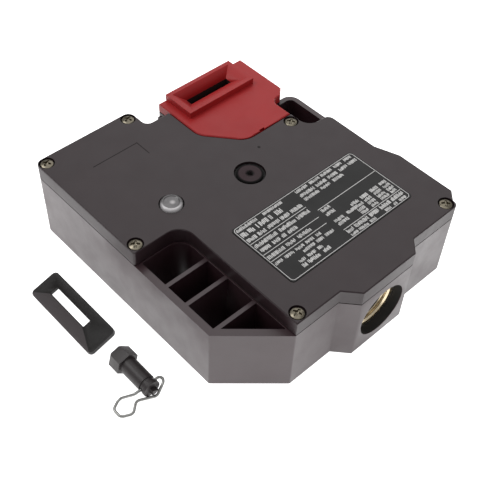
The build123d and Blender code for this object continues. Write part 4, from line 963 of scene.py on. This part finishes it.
class ConduitOperator(bpy.types.Operator):
    """Cuts the brass ring of the conduit entry with its thread."""

    bl_idname = "interlock.conduit"
    bl_label = "Conduit ring"

    def execute(self, context):
        sizes, colours = context.scene.switch_sizes, context.scene.switch_colours
        low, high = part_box("conduit_insert")
        middle = (low + high) / 2
        outer, pitch = (high.x - low.x) / 2, sizes.thread_pitch
        core, root = THREAD_CORE, THREAD_CORE + sizes.thread_depth
        path = [(outer, low.y), (root, low.y)]
        y = low.y + THREAD_START
        while y + pitch < high.y:
            path.append((root, y))
            path += [(core, y + pitch * share) for share in THREAD_CREST]
            y += pitch
        path += [(root, y), (root, high.y), (outer, high.y)]
        shape = bmesh.new()
        verts = [shape.verts.new((middle.x + radius, along, middle.z)) for radius, along in path]
        edges = [shape.edges.new(pair) for pair in zip(verts, verts[1:] + verts[:1])]
        bmesh.ops.spin(
            shape, geom=verts + edges, cent=(middle.x, 0.0, middle.z), axis=(0.0, 1.0, 0.0),
            angle=2 * pi, steps=96, use_merge=True, use_duplicate=False,
        )
        bmesh.ops.remove_doubles(shape, verts=shape.verts, dist=0.000001)
        bmesh.ops.recalc_face_normals(shape, faces=shape.faces)
        brass = plated_metal("brass_finish", tuple(colours.brass), 0.22, scale=700.0)
        deep = inside(brass.node_tree, (low.x, low.y + DEEP_FROM, low.z), high, 0.0008)
        overlaid(brass, deep, BRASS_SHADOW, 0.5)
        finished(
            shape, "conduit_ring_threaded", brass, "housing", ("conduit_insert",),
            smooth=25.0,
        )
        return {"FINISHED"}


# The painted light on the cap's inner slope ends at its slot and is mitred towards the slopes at
# its front and its back.
SLOPE_WIDTH, FRONT_SLOPE, BACK_SLOPE = 0.0054, 0.0118, 0.0052
SLOPE_END = 0.0055


class LooseOperator(bpy.types.Operator):
    """Dresses the slot cap, painted light on its inner slope, the release key and its wire ring."""

    bl_idname = "interlock.loose"
    bl_label = "Cap and key"

    def execute(self, context):
        edge = context.scene.switch_sizes.small_edge
        cap = moulded_plastic(
            "cap_plastic_finish", CAP_BLACK, 0.45, grain=2600.0, depth=0.00009, mottle=0.3, ior=1.36
        )
        low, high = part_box("slot_cap")
        tree = cap.node_tree
        # Painted light on the cap's inner slope, which faces the light.
        front = beside(tree, low, (-FRONT_SLOPE, SLOPE_WIDTH, 0.0))
        back = beside(tree, (low.x, high.y, 0.0), (-BACK_SLOPE, -SLOPE_WIDTH, 0.0))
        end = beside(tree, (low.x + SLOPE_END, low.y, low.z), (-1.0, 0.0, 0.0))
        pale = product(tree, product(tree, front, back), end)
        overlaid(cap, pale, CAP_SLOPE_LIGHT, 0.5)
        rounded("slot_cap", "slot_cap_moulded", edge, cap)
        key = moulded_plastic("key_plastic_finish", KEY_BLACK, 0.42, grain=1500.0, ior=1.42)
        rounded("release_key", "release_key_moulded", edge, key)
        dress("key_ring", plated_metal("wire_finish", WIRE, 0.3, scale=1500.0))
        return {"FINISHED"}


# The camera's place in metres, its compass direction, tilt and roll in degrees, and its focal
# length in millimetres.
CAMERA_PLACE = (-0.1267, -0.1371, 0.2771)
CAMERA_AIM = (44.68, 48.70, 2.62)
CAMERA_LENS = 66.09

# The lamps: name, place, size in metres and power in watts. All face one point.
LAMPS = (
    ("soft box", (0.72, 0.57, 0.80), 1.1, 3.2),
    ("top box", (0.02, 0.0, 1.1), 0.9, 2.0),
    ("key lamp", (-0.35, 0.55, 0.9), 0.5, 3.0),
)
LAMPS_FACE = (0.04, 0.03, 0.0)
WORLD_STRENGTH = 0.46
# The floor: half its width, its gap below the switch in metres, and how much it glows.
FLOOR_SIZE = 1.6
FLOOR_GAP = 0.00005
FLOOR_GLOW = 1.1


def camera_turn(azimuth, elevation, roll):
    """The camera's turn from its compass direction, its tilt and its roll, in degrees."""
    across, down, lean = radians(azimuth), radians(elevation), radians(roll)
    view = Vector((sin(across) * cos(down), cos(across) * cos(down), -sin(down)))
    right = Vector((cos(across), -sin(across), 0.0))
    up = right.cross(view)
    side = right * cos(lean) + up * sin(lean)
    head = up * cos(lean) - right * sin(lean)
    return Matrix((side, head, -view)).transposed().to_4x4()


def lamp(name, stand, size, power):
    """A soft square lamp."""
    data = bpy.data.lights.new(name, "AREA")
    data.size = size
    data.energy = power
    light = bpy.data.objects.new(name, data)
    bpy.context.collection.objects.link(light)
    light.location = stand
    facing = Vector(LAMPS_FACE) - Vector(stand)
    light.rotation_euler = facing.to_track_quat("-Z", "Y").to_euler()


class StageOperator(bpy.types.Operator):
    """Lays the pale floor, the soft light and the camera."""

    bl_idname = "interlock.stage"
    bl_label = "Stage"

    def execute(self, context):
        shape = bmesh.new()
        bmesh.ops.create_grid(shape, x_segments=1, y_segments=1, size=FLOOR_SIZE)
        mesh = bpy.data.meshes.new("floor")
        shape.to_mesh(mesh)
        shape.free()
        floor = bpy.data.objects.new("floor", mesh)
        context.collection.objects.link(floor)
        floor.location = (0.04, 0.04, cad_low.z - FLOOR_GAP)
        paper, _, shader, _ = finish_nodes("floor_finish", PAPER, 0.9)
        shader.inputs["Emission Color"].default_value = WHITE
        shader.inputs["Emission Strength"].default_value = FLOOR_GLOW
        shader.inputs["Specular IOR Level"].default_value = 0.0
        mesh.materials.append(paper)

        world = bpy.data.worlds.new("studio")
        context.scene.world = world
        world.use_nodes = True
        sky = world.node_tree.nodes["Background"]
        sky.inputs["Color"].default_value = WHITE
        sky.inputs["Strength"].default_value = WORLD_STRENGTH
        for name, stand, size, power in LAMPS:
            lamp(name, stand, size, power)

        data = bpy.data.cameras.new("camera")
        data.sensor_width = 36.0
        data.lens = CAMERA_LENS
        camera = bpy.data.objects.new("camera", data)
        context.collection.objects.link(camera)
        camera.matrix_world = Matrix.Translation(CAMERA_PLACE) @ camera_turn(*CAMERA_AIM)
        context.scene.camera = camera
        context.scene.view_settings.view_transform = "Standard"
        return {"FINISHED"}


OPERATORS = (
    CaseOperator,
    CoverOperator,
    ScrewsOperator,
    NameplateOperator,
    IndicatorOperator,
    ReleaseOperator,
    HeadOperator,
    MechanismOperator,
    ConduitOperator,
    LooseOperator,
    StageOperator,
)


class InterlockPanel(bpy.types.Panel):
    """Lists the pieces of the switch in the sidebar."""

    bl_idname = "VIEW3D_PT_interlock"
    bl_label = "Interlock switch"
    bl_space_type = "VIEW_3D"
    bl_region_type = "UI"
    bl_category = "Interlock"

    def draw(self, context):
        for group in (context.scene.switch_sizes, context.scene.switch_colours):
            for name in group.bl_rna.properties.keys():
                if name not in ("rna_type", "name"):
                    self.layout.prop(group, name)
        for operator in OPERATORS:
            self.layout.operator(operator.bl_idname)


CLASSES = (SwitchSizes, SwitchColours, *OPERATORS, InterlockPanel)


def register():
    """Registers the classes and hangs the settings on the scene."""
    for item in CLASSES:
        bpy.utils.register_class(item)
    bpy.types.Scene.switch_sizes = bpy.props.PointerProperty(type=SwitchSizes)
    bpy.types.Scene.switch_colours = bpy.props.PointerProperty(type=SwitchColours)


def unregister():
    """Takes the settings and the classes away again."""
    del bpy.types.Scene.switch_colours
    del bpy.types.Scene.switch_sizes
    for item in reversed(CLASSES):
        bpy.utils.unregister_class(item)


def main():
    """Builds every piece in order."""
    register()
    bpy.ops.interlock.case()
    bpy.ops.interlock.cover()
    bpy.ops.interlock.screws()
    bpy.ops.interlock.nameplate()
    bpy.ops.interlock.indicator()
    bpy.ops.interlock.release()
    bpy.ops.interlock.head()
    bpy.ops.interlock.mechanism()
    bpy.ops.interlock.conduit()
    bpy.ops.interlock.loose()
    bpy.ops.interlock.stage()


if __name__ == "__main__":
    main()
